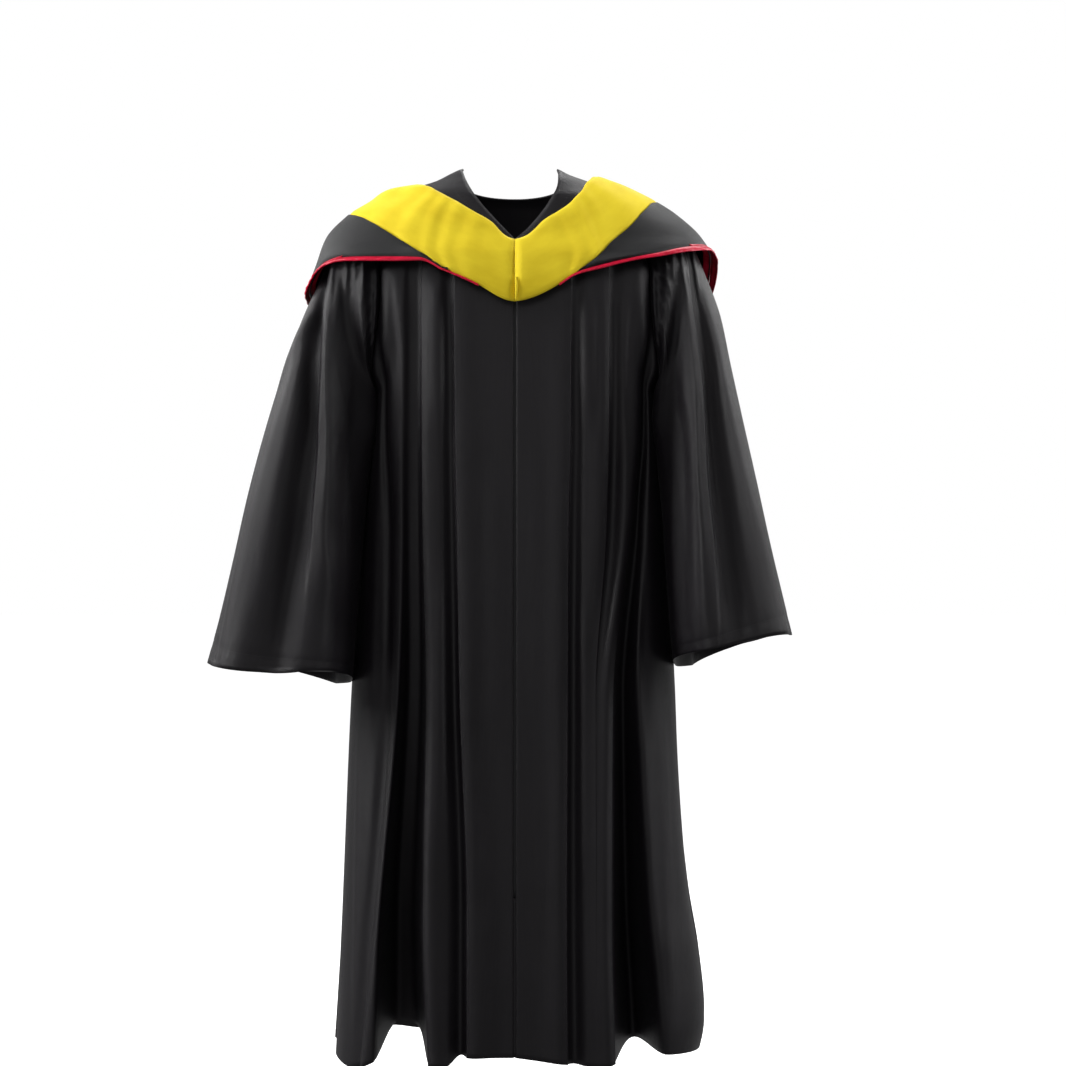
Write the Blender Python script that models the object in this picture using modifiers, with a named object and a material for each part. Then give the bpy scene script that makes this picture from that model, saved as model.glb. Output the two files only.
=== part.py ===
"""Graduation gown worn with its academic hood, hollow as it hangs from the wearer's shoulders.

Metres, +Z up, the front faces -Y. The origin is the middle of the neck opening, level with the
top of the shoulders, where the wearer carries the gown. "Left" is the -X side.
"""

import math
from bisect import bisect_right
from collections import namedtuple

import bpy

# ---------------------------------------------------------------- driving dimensions
CLOTH = 0.0016            # wall of the gown's polyester
HOOD_CLOTH = 0.0018       # wall of the hood's black shell and its lining
TRIM_CLOTH = 0.0022       # wall of the hood's velvet trim
SEAM_GAP = 0.0003         # between two pieces that are sewn together
RING_STEPS = 36           # points round an armhole and a sleeve
YOKE_STEP = 6             # the armhole point where the yoke seam ends
YOKE_SEAM_SHARE = 0.6     # share of the yoke's outer border that is its seam with the panel
YOKE_ROWS = 4
YOKE_COLUMNS = 14
YOKE_LAST_COLUMN = 0.015  # the narrow column at the shoulder, as a share of the border
ARMHOLE_Z = -0.200        # middle of the armhole
ARMHOLE_HALF_HEIGHT = 0.140
ARMHOLE_HALF_DEPTH = 0.085
BACK_NECK_DROP = 0.035    # the back neckline below the shoulder points
HEM_Z = -1.280            # lowest row of the panels, before the hem follows its own line
VALLEY_RISE = {-1: 0.26, 1: 0.05}   # on each side, how far a deep valley lifts the hem, per metre of depth
ZIP_HALF_WIDTH = 0.013
ZIP_TOP_Z = -0.150
ZIP_LENGTH = 0.900
ZIP_TAPE = 0.0012
ZIP_ROWS = 8
EDGE_WIDTH = 0.0070       # the lining that shows below the hood's hem
EDGE_NARROW = 0.35        # share of that width at its ends under the trim
SECTION_STEPS = 48        # straight steps in a quarter of a level section

# ---------------------------------------------------------------- level sections
Level = namedtuple("Level", "z left right front back squareness")

GOWN_LEVELS = (
    Level(0.000, 0.0780, 0.0630, 0.070, 0.066, 2.0),      # shoulder points of the neckline
    Level(-0.009, 0.0970, 0.0780, 0.076, 0.074, 1.95),
    Level(-0.019, 0.1170, 0.1060, 0.081, 0.080, 1.9),
    Level(-0.0285, 0.1475, 0.1340, 0.084, 0.084, 1.9),
    Level(-0.038, 0.1800, 0.1620, 0.088, 0.088, 2.0),
    Level(-0.046, 0.1940, 0.1870, 0.092, 0.092, 2.2),
    Level(-0.060, 0.2000, 0.2000, 0.097, 0.096, 2.5),     # top of the armhole
    Level(-0.090, 0.2030, 0.2030, 0.106, 0.104, 3.2),
    Level(-0.130, 0.2000, 0.2000, 0.115, 0.113, 3.8),     # yoke seam
    Level(-0.200, 0.1980, 0.1980, 0.126, 0.123, 4.0),
    Level(-0.340, 0.2040, 0.2040, 0.137, 0.134, 3.6),     # underarm
    Level(-0.500, 0.2220, 0.2180, 0.146, 0.144, 3.0),
    Level(-0.650, 0.2330, 0.2280, 0.153, 0.153, 2.8),
    Level(-0.756, 0.2400, 0.2340, 0.158, 0.160, 2.7),
    Level(-0.850, 0.2445, 0.2375, 0.162, 0.166, 2.7),
    Level(-0.950, 0.2485, 0.2435, 0.166, 0.172, 2.7),
    Level(-1.060, 0.2530, 0.2540, 0.169, 0.180, 2.7),
    Level(-1.150, 0.2570, 0.2690, 0.172, 0.186, 2.7),
    Level(-1.240, 0.2610, 0.2770, 0.174, 0.191, 2.7),
    Level(-1.320, 0.2650, 0.2600, 0.176, 0.197, 2.7),     # below the hem
)

HOOD_LEVELS = (
    Level(-0.004, 0.0900, 0.0980, 0.078, 0.078, 1.9),
    Level(-0.010, 0.1050, 0.1180, 0.081, 0.082, 1.85),
    Level(-0.018, 0.1220, 0.1430, 0.085, 0.087, 1.85),
    Level(-0.024, 0.1450, 0.1590, 0.088, 0.090, 1.85),
    Level(-0.032, 0.1900, 0.1760, 0.092, 0.094, 1.9),
    Level(-0.048, 0.2130, 0.2060, 0.099, 0.101, 2.05),
    Level(-0.068, 0.2450, 0.2360, 0.106, 0.109, 2.3),
    Level(-0.104, 0.2790, 0.2735, 0.118, 0.122, 2.8),
    Level(-0.137, 0.2900, 0.2910, 0.132, 0.138, 3.3),
    Level(-0.188, 0.3040, 0.2960, 0.142, 0.158, 3.3),
    Level(-0.260, 0.3060, 0.3000, 0.146, 0.163, 3.2),
    Level(-0.400, 0.3060, 0.3000, 0.150, 0.164, 3.2),
    Level(-0.600, 0.3060, 0.3000, 0.155, 0.177, 3.2),
    Level(-0.800, 0.3060, 0.3000, 0.160, 0.190, 3.2),
)

# ---------------------------------------------------------------- necklines
NeckPoint = namedtuple("NeckPoint", "x z")
NECK_LEFT = (
    NeckPoint(0.000, -0.113),
    NeckPoint(0.020, -0.092),
    NeckPoint(0.041, -0.069),
    NeckPoint(0.060, -0.044),
    NeckPoint(0.073, -0.020),
    NeckPoint(0.080, 0.000),
)
NECK_RIGHT = (
    NeckPoint(0.000, -0.113),
    NeckPoint(0.014, -0.101),
    NeckPoint(0.029, -0.085),
    NeckPoint(0.048, -0.059),
    NeckPoint(0.062, -0.030),
    NeckPoint(0.065, 0.000),
)

# ---------------------------------------------------------------- hem
HemPoint = namedtuple("HemPoint", "x z")
HEM_LEFT = (
    HemPoint(0.000, -1.277),
    HemPoint(0.072, -1.277),
    HemPoint(0.100, -1.290),
    HemPoint(0.190, -1.287),
    HemPoint(0.237, -1.302),
    HemPoint(0.266, -1.292),
)
HEM_RIGHT = (
    HemPoint(0.000, -1.277),
    HemPoint(0.070, -1.286),
    HemPoint(0.125, -1.291),
    HemPoint(0.150, -1.284),
    HemPoint(0.184, -1.277),
    HemPoint(0.226, -1.281),
    HemPoint(0.275, -1.284),
)

# ---------------------------------------------------------------- pressed pleats of the fronts
FOLD_LEVELS = (-0.160, -0.370, -0.535, -0.770, -1.070, -1.280)
AMPLITUDE_LEVELS = (-0.130, -0.500, -0.770, -1.280)
# x: distance of the fold edge from the centre line at FOLD_LEVELS; ridge, valley and width of
# the valley beyond the edge at AMPLITUDE_LEVELS; a lean under 1 brings the valley's deepest line
# nearer the edge, and flatness widens its floor
Fold = namedtuple("Fold", "name x ridge valley width lean flatness")
FOLDS_LEFT = (
    Fold("inner", (0.0866, 0.0848, 0.0817, 0.0774, 0.0673, 0.0673),
         (0.0010, 0.004, 0.006, 0.007), (0.002, 0.006, 0.009, 0.012), (0.022, 0.024, 0.026, 0.030), 0.7, 1),
    Fold("main", (0.1330, 0.1320, 0.1300, 0.1242, 0.1284, 0.1212),
         (0.0015, 0.006, 0.010, 0.012), (0.003, 0.012, 0.040, 0.140), (0.026, 0.030, 0.044, 0.084), 0.9, 3),
    Fold("outer", (0.1830, 0.1800, 0.1714, 0.1750, 0.1980, 0.2180),
         (0.0010, 0.005, 0.004, 0.008), (0.002, 0.010, 0.006, 0.000), (0.014, 0.030, 0.030, 0.030), 0.7, 1),
)
FOLDS_RIGHT = (
    Fold("inner", (0.0808, 0.0793, 0.0762, 0.0747, 0.0733, 0.0747),
         (0.0010, 0.004, 0.005, 0.006), (0.002, 0.006, 0.008, 0.010), (0.022, 0.024, 0.026, 0.030), 0.7, 1),
    Fold("middle", (0.1350, 0.1340, 0.1290, 0.1130, 0.1130, 0.1160),
         (0.0015, 0.006, 0.001, 0.000), (0.003, 0.009, 0.001, 0.000), (0.024, 0.026, 0.016, 0.014), 0.7, 1),
    Fold("main", (0.1820, 0.1780, 0.1630, 0.1380, 0.1358, 0.1414),
         (0.0010, 0.008, 0.010, 0.012), (0.003, 0.020, 0.045, 0.130), (0.014, 0.034, 0.048, 0.084), 0.7, 1),
)
FOLD_COLUMNS = (-0.35, 0.0, 0.10, 0.26, 0.62, 0.84, 1.0)   # mesh columns round a fold, in valley widths
RIDGE_WIDTH = 0.020       # how far a pleat's edge lifts the cloth on its inner side
EDGE_ROUND = 0.004        # how sharply it drops on its outer side
SIDE_CALM = 0.030         # no folds this close to a side seam or an armhole
LOWER_ROWS = 9            # rows of the mesh below the underarm
ROW_SPREAD = 1.3          # they widen towards the hem
LEAST_COLUMN = 0.0008     # the narrowest column of the mesh
SEAM_COLUMN = 0.0040      # the column along a side seam, narrow so that the wall meets it square

BACK_WAVES = 4.0          # flutes from the back's centre to a side seam
BACK_COLUMNS = 20         # mesh columns from the centre to a side seam
BACK_AMPLITUDES = (0.0012, 0.007, 0.011, 0.020)
BACK_CALM = 0.060         # the flutes fade over this distance from a side seam
Ripple = namedtuple("Ripple", "size rate start")

# ---------------------------------------------------------------- sleeves
# outer and inner are the ring's highest and lowest points; forward moves the ring to the front,
# tuck draws its inner front corner towards the body
Ring = namedtuple("Ring", "outer_x outer_z inner_x inner_z half_depth forward tuck")
SLEEVE_LEFT = (
    Ring(0.200, -0.060, 0.2040, -0.340, 0.085, 0.000, 0.000),
    Ring(0.218, -0.066, 0.2110, -0.349, 0.094, 0.000, 0.000),
    Ring(0.244, -0.084, 0.2122, -0.372, 0.099, 0.000, 0.003),
    Ring(0.266, -0.118, 0.2160, -0.408, 0.106, 0.003, 0.007),
    Ring(0.285, -0.168, 0.2220, -0.453, 0.115, 0.008, 0.010),
    Ring(0.313, -0.230, 0.2280, -0.500, 0.125, 0.014, 0.013),
    Ring(0.338, -0.300, 0.2320, -0.550, 0.134, 0.020, 0.014),
    Ring(0.364, -0.385, 0.2355, -0.600, 0.140, 0.025, 0.014),
    Ring(0.389, -0.480, 0.2385, -0.645, 0.145, 0.029, 0.014),
    Ring(0.410, -0.575, 0.2395, -0.685, 0.149, 0.032, 0.013),
    Ring(0.430, -0.660, 0.2400, -0.720, 0.152, 0.034, 0.012),
    Ring(0.447, -0.722, 0.2410, -0.752, 0.155, 0.035, 0.010),
)
SLEEVE_RIGHT = (
    Ring(0.200, -0.060, 0.2040, -0.340, 0.085, 0.000, 0.000),
    Ring(0.218, -0.066, 0.2110, -0.349, 0.094, 0.000, 0.000),
    Ring(0.242, -0.084, 0.2122, -0.372, 0.099, 0.000, 0.003),
    Ring(0.260, -0.116, 0.2142, -0.405, 0.106, 0.003, 0.007),
    Ring(0.278, -0.162, 0.2182, -0.445, 0.115, 0.008, 0.010),
    Ring(0.299, -0.220, 0.2235, -0.487, 0.125, 0.014, 0.013),
    Ring(0.314, -0.290, 0.2275, -0.532, 0.133, 0.020, 0.014),
    Ring(0.3315, -0.370, 0.2295, -0.577, 0.138, 0.025, 0.014),
    Ring(0.3515, -0.460, 0.2320, -0.620, 0.143, 0.029, 0.014),
    Ring(0.371, -0.550, 0.2335, -0.660, 0.147, 0.032, 0.013),
    Ring(0.3885, -0.625, 0.2345, -0.697, 0.150, 0.034, 0.012),
    Ring(0.4025, -0.684, 0.2355, -0.728, 0.153, 0.035, 0.010),
)
TUCK_ANGLE = 150
TUCK_WIDTH = 25
CUFF_RINGS = 2            # rings over which the cuff's hem leaves its plane
CUFF_FRONT_RISE = 0.016   # the hem is higher at the inner front corner
CUFF_BACK_DROP = 0.012    # and lower at the inner back corner
CUFF_CORNER = 130
CUFF_CORNER_WIDTH = 38
CUFF_MIDDLE_RISE = {-1: 0.0, 1: 0.014}   # on each side, how much higher the hem is in front
CUFF_MIDDLE = 70
CUFF_MIDDLE_WIDTH = 42
RING_SQUARENESS = 2.3
SLEEVE_FOLD_RINGS = (0, 3, 6, 9, 11)
# angle: round the ring from its outer point, positive to the front; height at SLEEVE_FOLD_RINGS
SleeveFold = namedtuple("SleeveFold", "angle height width")
SLEEVE_FOLDS_LEFT = (
    SleeveFold((20, 61, 111, 124, 129), (0.0, 0.004, 0.010, 0.011, 0.009), 18),
    SleeveFold((6, 20, 79, 88, 86), (0.0, -0.005, -0.015, -0.014, -0.011), 16),
    SleeveFold((-8, 4, 42, 44, 56), (0.0, 0.002, 0.008, 0.010, 0.009), 16),
    SleeveFold((-20, -44, -84, -112, -120), (0.0, 0.004, 0.012, 0.012, 0.010), 18),
    SleeveFold((-44, -70, -112, -138, -146), (0.0, -0.006, -0.012, -0.010, -0.008), 16),
)
SLEEVE_FOLDS_RIGHT = (
    SleeveFold((24, 80, 103, 112, 116), (0.0, 0.004, 0.010, 0.011, 0.010), 17),
    SleeveFold((10, 46, 78, 88, 92), (0.0, -0.005, -0.014, -0.013, -0.010), 14),
    SleeveFold((-4, 8, 36, 44, 51), (0.0, 0.002, 0.008, 0.010, 0.010), 15),
    SleeveFold((-18, -40, -78, -106, -112), (0.0, 0.004, 0.012, 0.012, 0.012), 18),
    SleeveFold((-42, -68, -108, -132, -140), (0.0, -0.006, -0.012, -0.012, -0.010), 16),
)
GATHER_HEIGHT = 0.0035    # small gathers at the sleeve head, one to every two ring points
GATHER_RINGS = 4          # rings over which they fade

# ---------------------------------------------------------------- hood
# top: edge of the trim at the neck; low: edge of the trim on the shell; hem: edge of the shell.
# face is 1 in front, -1 behind
HoodStation = namedtuple("HoodStation", "face top_x top_z low_x low_z hem_x hem_z")
HOOD_FRONT_LEFT = (
    HoodStation(1, 0.000, -0.113, 0.000, -0.205, 0.000, -0.205),
    HoodStation(1, 0.033, -0.088, 0.052, -0.1805, 0.052, -0.1805),
    HoodStation(1, 0.058, -0.0725, 0.085, -0.165, 0.085, -0.165),
    HoodStation(1, 0.081, -0.058, 0.1043, -0.154, 0.1055, -0.1565),
    HoodStation(1, 0.098, -0.048, 0.136, -0.133, 0.138, -0.141),
    HoodStation(1, 0.113, -0.039, 0.170, -0.110, 0.189, -0.1395),
    HoodStation(1, 0.125, -0.031, 0.203, -0.088, 0.242, -0.1385),
    HoodStation(1, 0.134, -0.0255, 0.229, -0.074, 0.275, -0.145),
    HoodStation(1, 0.140, -0.024, 0.250, -0.068, 0.3030, -0.182),
    HoodStation(-1, 0.136, -0.0265, 0.243, -0.074, 0.292, -0.205),
)
HOOD_FRONT_RIGHT = (
    HoodStation(1, 0.000, -0.113, 0.000, -0.205, 0.000, -0.205),
    HoodStation(1, 0.0406, -0.0857, 0.064, -0.1795, 0.064, -0.1795),
    HoodStation(1, 0.060, -0.073, 0.088, -0.163, 0.0885, -0.1635),
    HoodStation(1, 0.075, -0.0626, 0.1146, -0.1427, 0.124, -0.1525),
    HoodStation(1, 0.088, -0.049, 0.132, -0.124, 0.165, -0.142),
    HoodStation(1, 0.098, -0.037, 0.157, -0.101, 0.202, -0.134),
    HoodStation(1, 0.106, -0.023, 0.187, -0.068, 0.246, -0.123),
    HoodStation(1, 0.115, -0.013, 0.201, -0.053, 0.278, -0.117),
    HoodStation(1, 0.120, -0.010, 0.210, -0.050, 0.2900, -0.130),
    HoodStation(-1, 0.117, -0.014, 0.205, -0.060, 0.288, -0.165),
)
HOOD_BACK = (
    HoodStation(-1, 0.126, -0.040, 0.226, -0.100, 0.272, -0.225),
    HoodStation(-1, 0.117, -0.090, 0.203, -0.150, 0.245, -0.255),
    HoodStation(-1, 0.105, -0.180, 0.180, -0.220, 0.217, -0.320),
    HoodStation(-1, 0.092, -0.280, 0.163, -0.320, 0.197, -0.440),
    HoodStation(-1, 0.075, -0.370, 0.140, -0.420, 0.172, -0.570),
    HoodStation(-1, 0.048, -0.435, 0.100, -0.500, 0.125, -0.680),
    HoodStation(-1, 0.021, -0.465, 0.048, -0.545, 0.062, -0.738),
    HoodStation(-1, 0.000, -0.472, 0.000, -0.555, 0.000, -0.752),
)
HOOD_STEPS_PER_STATION = 2
TRIM_ROWS = 3
SHELL_ROWS = 4
SHELL_START = 3.0         # the shell begins at this station of the front, and runs to the back
EDGE_START = 1.0
LINING_START = 11.0       # the back's first station where the lining fills the trim's loop
LINING_DROOP = 0.050
LINING_COLUMNS = 8
TOP_CROWDING = 1.6        # rows crowd towards the flat top of the shoulder

# ---------------------------------------------------------------- colours and finishes
Finish = namedtuple("Finish", "colour roughness")
GOWN_BLACK = Finish((0.014, 0.013, 0.015), 0.62)
HOOD_BLACK = Finish((0.016, 0.015, 0.018), 0.55)
TRIM_YELLOW = Finish((0.80, 0.60, 0.02), 0.75)
LINING_RED = Finish((0.56, 0.006, 0.035), 0.35)
ZIP_BLACK = Finish((0.010, 0.010, 0.011), 0.50)


# ---------------------------------------------------------------- interpolation
def smoothstep(value):
    value = min(1.0, max(0.0, value))
    return value * value * (3.0 - 2.0 * value)


def monotone(keys, values, at):
    """A smooth curve through the values that never overshoots them; the keys rise."""
    if at <= keys[0]:
        return values[0]
    if at >= keys[-1]:
        return values[-1]
    slopes = [(values[i + 1] - values[i]) / (keys[i + 1] - keys[i]) for i in range(len(keys) - 1)]

    def tangent(i):
        if i == 0 or i == len(keys) - 1:
            return slopes[min(i, len(slopes) - 1)]
        before, after = slopes[i - 1], slopes[i]
        if before * after <= 0.0:
            return 0.0
        return 2.0 * before * after / (before + after)

    i = bisect_right(keys, at) - 1
    step = keys[i + 1] - keys[i]
    t = (at - keys[i]) / step
    return (values[i] * (1 + 2 * t) * (1 - t) ** 2 + values[i + 1] * t * t * (3 - 2 * t)
            + step * (tangent(i) * t * (1 - t) ** 2 - tangent(i + 1) * t * t * (1 - t)))


def by_level(levels, values, z):
    """A value of a table whose levels fall with the height."""
    return monotone([-level for level in levels], values, -z)


# ---------------------------------------------------------------- the garment's level sections
class Mantle:
    """A draped surface given by level superellipses; angle 0 is the front, +90 the +X side."""

    def __init__(self, levels):
        self.keys = [-level.z for level in levels]
        self.columns = {name: [getattr(level, name) for level in levels] for name in Level._fields}

    def read(self, column, z):
        return monotone(self.keys, self.columns[column], -z)

    def half_width(self, side, z):
        return self.read("right" if side > 0 else "left", z)

    def half_depth(self, face, z):
        return self.read("front" if face > 0 else "back", z)

    def point(self, angle, z):
        side = 1 if angle > 0 else -1
        face = 1 if abs(angle) <= 90 else -1
        power = 2.0 / self.read("squareness", z)
        across = abs(math.sin(math.radians(angle))) ** power
        along = abs(math.cos(math.radians(angle))) ** power
        return (side * self.half_width(side, z) * across, -face * self.half_depth(face, z) * along, z)

    def angle_at(self, side, face, x, z):
        """The angle where the section at this level lies x from the centre line."""
        ratio = min(1.0, x / self.half_width(side, z))
        angle = math.degrees(math.asin(ratio ** (self.read("squareness", z) / 2.0)))
        return side * (angle if face > 0 else 180.0 - angle)


GOWN = Mantle(GOWN_LEVELS)
HOOD = Mantle(HOOD_LEVELS)


class Section:
    """A quarter of one level section, measured along the cloth from the centre line."""

    def __init__(self, side, face, z):
        self.side = side
        self.face = face
        self.half_width = GOWN.half_width(side, z)
        self.half_depth = GOWN.half_depth(face, z)
        self.squareness = GOWN.read("squareness", z)
        quarter = [math.pi / 2 * i / SECTION_STEPS for i in range(SECTION_STEPS + 1)]
        power = 2.0 / self.squareness
        self.xs = [self.half_width * math.sin(t) ** power for t in quarter]
        self.ys = [self.half_depth * max(0.0, math.cos(t)) ** power for t in quarter]
        self.ys[-1] = 0.0
        self.runs = [0.0]
        for i in range(SECTION_STEPS):
            step = math.hypot(self.xs[i + 1] - self.xs[i], self.ys[i + 1] - self.ys[i])
            self.runs.append(self.runs[-1] + step)

    def run_at_x(self, x):
        i = min(bisect_right(self.xs, x), SECTION_STEPS) - 1
        share = (x - self.xs[i]) / (self.xs[i + 1] - self.xs[i])
        return self.runs[i] + min(1.0, share) * (self.runs[i + 1] - self.runs[i])

    def x_at_depth(self, y):
        """How far from the centre line the section lies where it is y deep."""
        share = 1.0 - (y / self.half_depth) ** self.squareness
        return self.half_width * max(0.0, share) ** (1.0 / self.squareness)

    def place(self, run, lift):
        """The point this far along the cloth, moved out by lift, without its height."""
        i = min(bisect_right(self.runs, run), SECTION_STEPS) - 1
        share = (run - self.runs[i]) / (self.runs[i + 1] - self.runs[i])
        x = self.xs[i] + share * (self.xs[i + 1] - self.xs[i])
        y = self.ys[i] + share * (self.ys[i + 1] - self.ys[i])
        out_x = (x / self.half_width) ** (self.squareness - 1) / self.half_width
        out_y = (max(y, 0.0) / self.half_depth) ** (self.squareness - 1) / self.half_depth
        length = math.hypot(out_x, out_y)
        return self.side * (x + lift * out_x / length), -self.face * (y + lift * out_y / length)


# ---------------------------------------------------------------- armhole
def armhole_level(step):
    """Height of an armhole point; step 0 is the top and half of RING_STEPS the underarm."""
    return ARMHOLE_Z + ARMHOLE_HALF_HEIGHT * math.cos(2 * math.pi * step / RING_STEPS)


def armhole_depth(z):
    """Half the armhole's depth at a level."""
    share = (z - ARMHOLE_Z) / ARMHOLE_HALF_HEIGHT
    return ARMHOLE_HALF_DEPTH * math.sqrt(max(0.0, 1.0 - share * share))


def armhole_angle(side, face, z):
    """The angle of the armhole's edge on the gown's section at a level."""
    ratio = min(1.0, armhole_depth(z) / GOWN.half_depth(face, z))
    angle = math.degrees(math.acos(ratio ** (GOWN.read("squareness", z) / 2.0)))
    return side * (angle if face > 0 else 180.0 - angle)


def armhole_point(side, step):
    """A point of the armhole's edge; positive steps run down its front."""
    z = armhole_level(step)
    face = 1 if 0 <= step <= RING_STEPS // 2 else -1
    return GOWN.point(armhole_angle(side, face, z), z)


YOKE_Z = armhole_level(YOKE_STEP)
UNDERARM_Z = armhole_level(RING_STEPS // 2)


# ---------------------------------------------------------------- meshes
collection = None


def material(name, finish):
    """The Principled material of one piece."""
    made = bpy.data.materials.new(name)
    made.use_nodes = True
    shader = made.node_tree.nodes["Principled BSDF"]
    shader.inputs["Base Color"].default_value = (*finish.colour, 1.0)
    shader.inputs["Roughness"].default_value = finish.roughness
    shader.inputs["Metallic"].default_value = 0.0
    return made


def sheet(name, rows, finish, wall, closed=False, flip=False):
    """A wall of cloth over a grid of points, thickened towards the garment's inside."""
    count = len(rows[0])
    vertices = [point for row in rows for point in row]
    faces = []
    for r in range(len(rows) - 1):
        for c in range(count if closed else count - 1):
            after = (c + 1) % count
            corners = (r * count + c, r * count + after, (r + 1) * count + after, (r + 1) * count + c)
            faces.append(corners if flip else corners[::-1])
    mesh = bpy.data.meshes.new(name)
    mesh.from_pydata(vertices, [], faces)
    mesh.shade_smooth()
    mesh.materials.append(material(name + "_cloth", finish))
    piece = bpy.data.objects.new(name, mesh)
    collection.objects.link(piece)
    solidify = piece.modifiers.new("cloth_wall", "SOLIDIFY")
    solidify.thickness = wall
    solidify.offset = -1.0
    return piece


# ---------------------------------------------------------------- yoke
def neck_front(side, share):
    """A point of the front neckline as angle and height, 0 at its point and 1 at the shoulder."""
    table = NECK_RIGHT if side > 0 else NECK_LEFT
    keys = [i / (len(table) - 1) for i in range(len(table))]
    x = monotone(keys, [point.x for point in table], share)
    z = monotone(keys, [point.z for point in table], share)
    return GOWN.angle_at(side, 1, x, z), z


def neck_back(side, share):
    """A point of the back neckline, 0 at the centre and 1 at the shoulder."""
    angle = 180.0 - 90.0 * share
    return side * angle, -BACK_NECK_DROP * math.cos(math.radians(90.0 * share)) ** 2


def yoke_border(side, face, share):
    """A point of the yoke's outer border, first along its seam, then up the armhole."""
    corner = armhole_angle(side, face, YOKE_Z)
    middle = 0.0 if face > 0 else side * 180.0
    if share <= YOKE_SEAM_SHARE:
        return middle + (corner - middle) * share / YOKE_SEAM_SHARE, YOKE_Z + 2 * SEAM_GAP
    step = YOKE_STEP * (1.0 - share) / (1.0 - YOKE_SEAM_SHARE)
    z = armhole_level(step)
    return armhole_angle(side, face, z), z


def yoke_rows(side, face):
    """Grid of half a yoke: rows run from the neckline to the border."""
    shares = [c / YOKE_COLUMNS for c in range(YOKE_COLUMNS)] + [1.0 - YOKE_LAST_COLUMN, 1.0]
    neck = neck_front if face > 0 else neck_back
    grid = []
    for r in range(YOKE_ROWS + 1):
        row = []
        for share in shares:
            inner_angle, inner_z = neck(side, share)
            outer_angle, outer_z = yoke_border(side, face, share)
            t = r / YOKE_ROWS
            x, y, z = GOWN.point(inner_angle + t * (outer_angle - inner_angle),
                                 inner_z + t * (outer_z - inner_z))
            if share == 0.0 and face > 0:
                x = side * SEAM_GAP / 2
            if share == 1.0:
                y = -face * SEAM_GAP / 2
            row.append((x, y, z))
        grid.append(row)
    return grid


def make_yoke():
    for side, name in ((-1, "left"), (1, "right")):
        sheet(f"yoke_front_{name}", yoke_rows(side, 1), GOWN_BLACK, CLOTH, flip=side < 0)
    left = yoke_rows(-1, -1)
    right = yoke_rows(1, -1)
    joined = [l[::-1] + r[1:] for l, r in zip(left, right)]
    sheet("yoke_back", joined, GOWN_BLACK, CLOTH, flip=True)


# ---------------------------------------------------------------- fronts and back
def panel_levels():
    """Levels of a panel's rows: the armhole's own points, then widening steps to the hem."""
    levels = [armhole_level(step) for step in range(YOKE_STEP, RING_STEPS // 2 + 1)]
    for row in range(1, LOWER_ROWS + 1):
        share = (row / LOWER_ROWS) ** ROW_SPREAD
        levels.append(UNDERARM_Z + (HEM_Z - UNDERARM_Z) * share)
    return levels


def fold_shape(folds, section, run, end, z):
    """How far the pleats lift the cloth off a front's section at a distance along it, and how far
    their valleys sink it straight back."""
    lift = 0.0
    sink = 0.0
    for fold in folds:
        distance = run - section.run_at_x(by_level(FOLD_LEVELS, fold.x, z))
        ridge = by_level(AMPLITUDE_LEVELS, fold.ridge, z)
        valley = by_level(AMPLITUDE_LEVELS, fold.valley, z)
        width = by_level(AMPLITUDE_LEVELS, fold.width, z)
        spread = RIDGE_WIDTH if distance < 0 else EDGE_ROUND
        lift += ridge * math.exp(-(distance / spread) ** 2)
        if 0 < distance < width:
            wave = math.sin(math.pi * (distance / width) ** fold.lean) ** 2
            sink += valley * (1.0 - (1.0 - wave) ** fold.flatness)
    calm = smoothstep((end - run) / SIDE_CALM)
    return lift * calm, sink * calm


def front_runs(folds, section, end, z):
    """Distances along a front's section where the mesh has its columns."""
    runs = [0.0]
    for fold in folds:
        edge = section.run_at_x(by_level(FOLD_LEVELS, fold.x, z))
        width = by_level(AMPLITUDE_LEVELS, fold.width, z)
        for place in FOLD_COLUMNS:
            runs.append(max(runs[-1] + LEAST_COLUMN, edge + place * width))
    runs[1:1] = [runs[1] * 0.5]
    still_to_come = len(runs) + 2
    runs = [min(run, end - SEAM_COLUMN - LEAST_COLUMN * (still_to_come - i)) for i, run in enumerate(runs)]
    last = runs[-1]
    rest = end - SEAM_COLUMN - last
    return runs + [last + rest * 0.35, last + rest * 0.7, end - SEAM_COLUMN, end]


def hem_share(z):
    """How much of the hem's own line a level follows: none at the underarm, all at the hem."""
    return smoothstep((UNDERARM_Z - z) / (UNDERARM_Z - HEM_Z))


def hem_shift(x, z):
    """The hem's own line along the cloth; the rows above share its dips and rises."""
    table = HEM_RIGHT if x > 0 else HEM_LEFT
    line = monotone([point.x for point in table], [point.z for point in table], abs(x))
    return (line - HEM_Z) * hem_share(z)


def front_panel(side):
    folds = FOLDS_RIGHT if side > 0 else FOLDS_LEFT
    grid = []
    for z in panel_levels():
        section = Section(side, 1, z)
        end = section.run_at_x(section.x_at_depth(armhole_depth(z) if z > UNDERARM_Z else 0.0))
        row = []
        for run in front_runs(folds, section, end, z):
            lift, sink = fold_shape(folds, section, run, end, z)
            x, y = section.place(run, lift)
            if run == 0.0:
                x = side * SEAM_GAP / 2
            rise = VALLEY_RISE[side] * hem_share(z) * sink
            row.append((x, min(y + sink, -SEAM_GAP), z + hem_shift(x, z) + rise))
        grid.append(row)
    return grid


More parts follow.
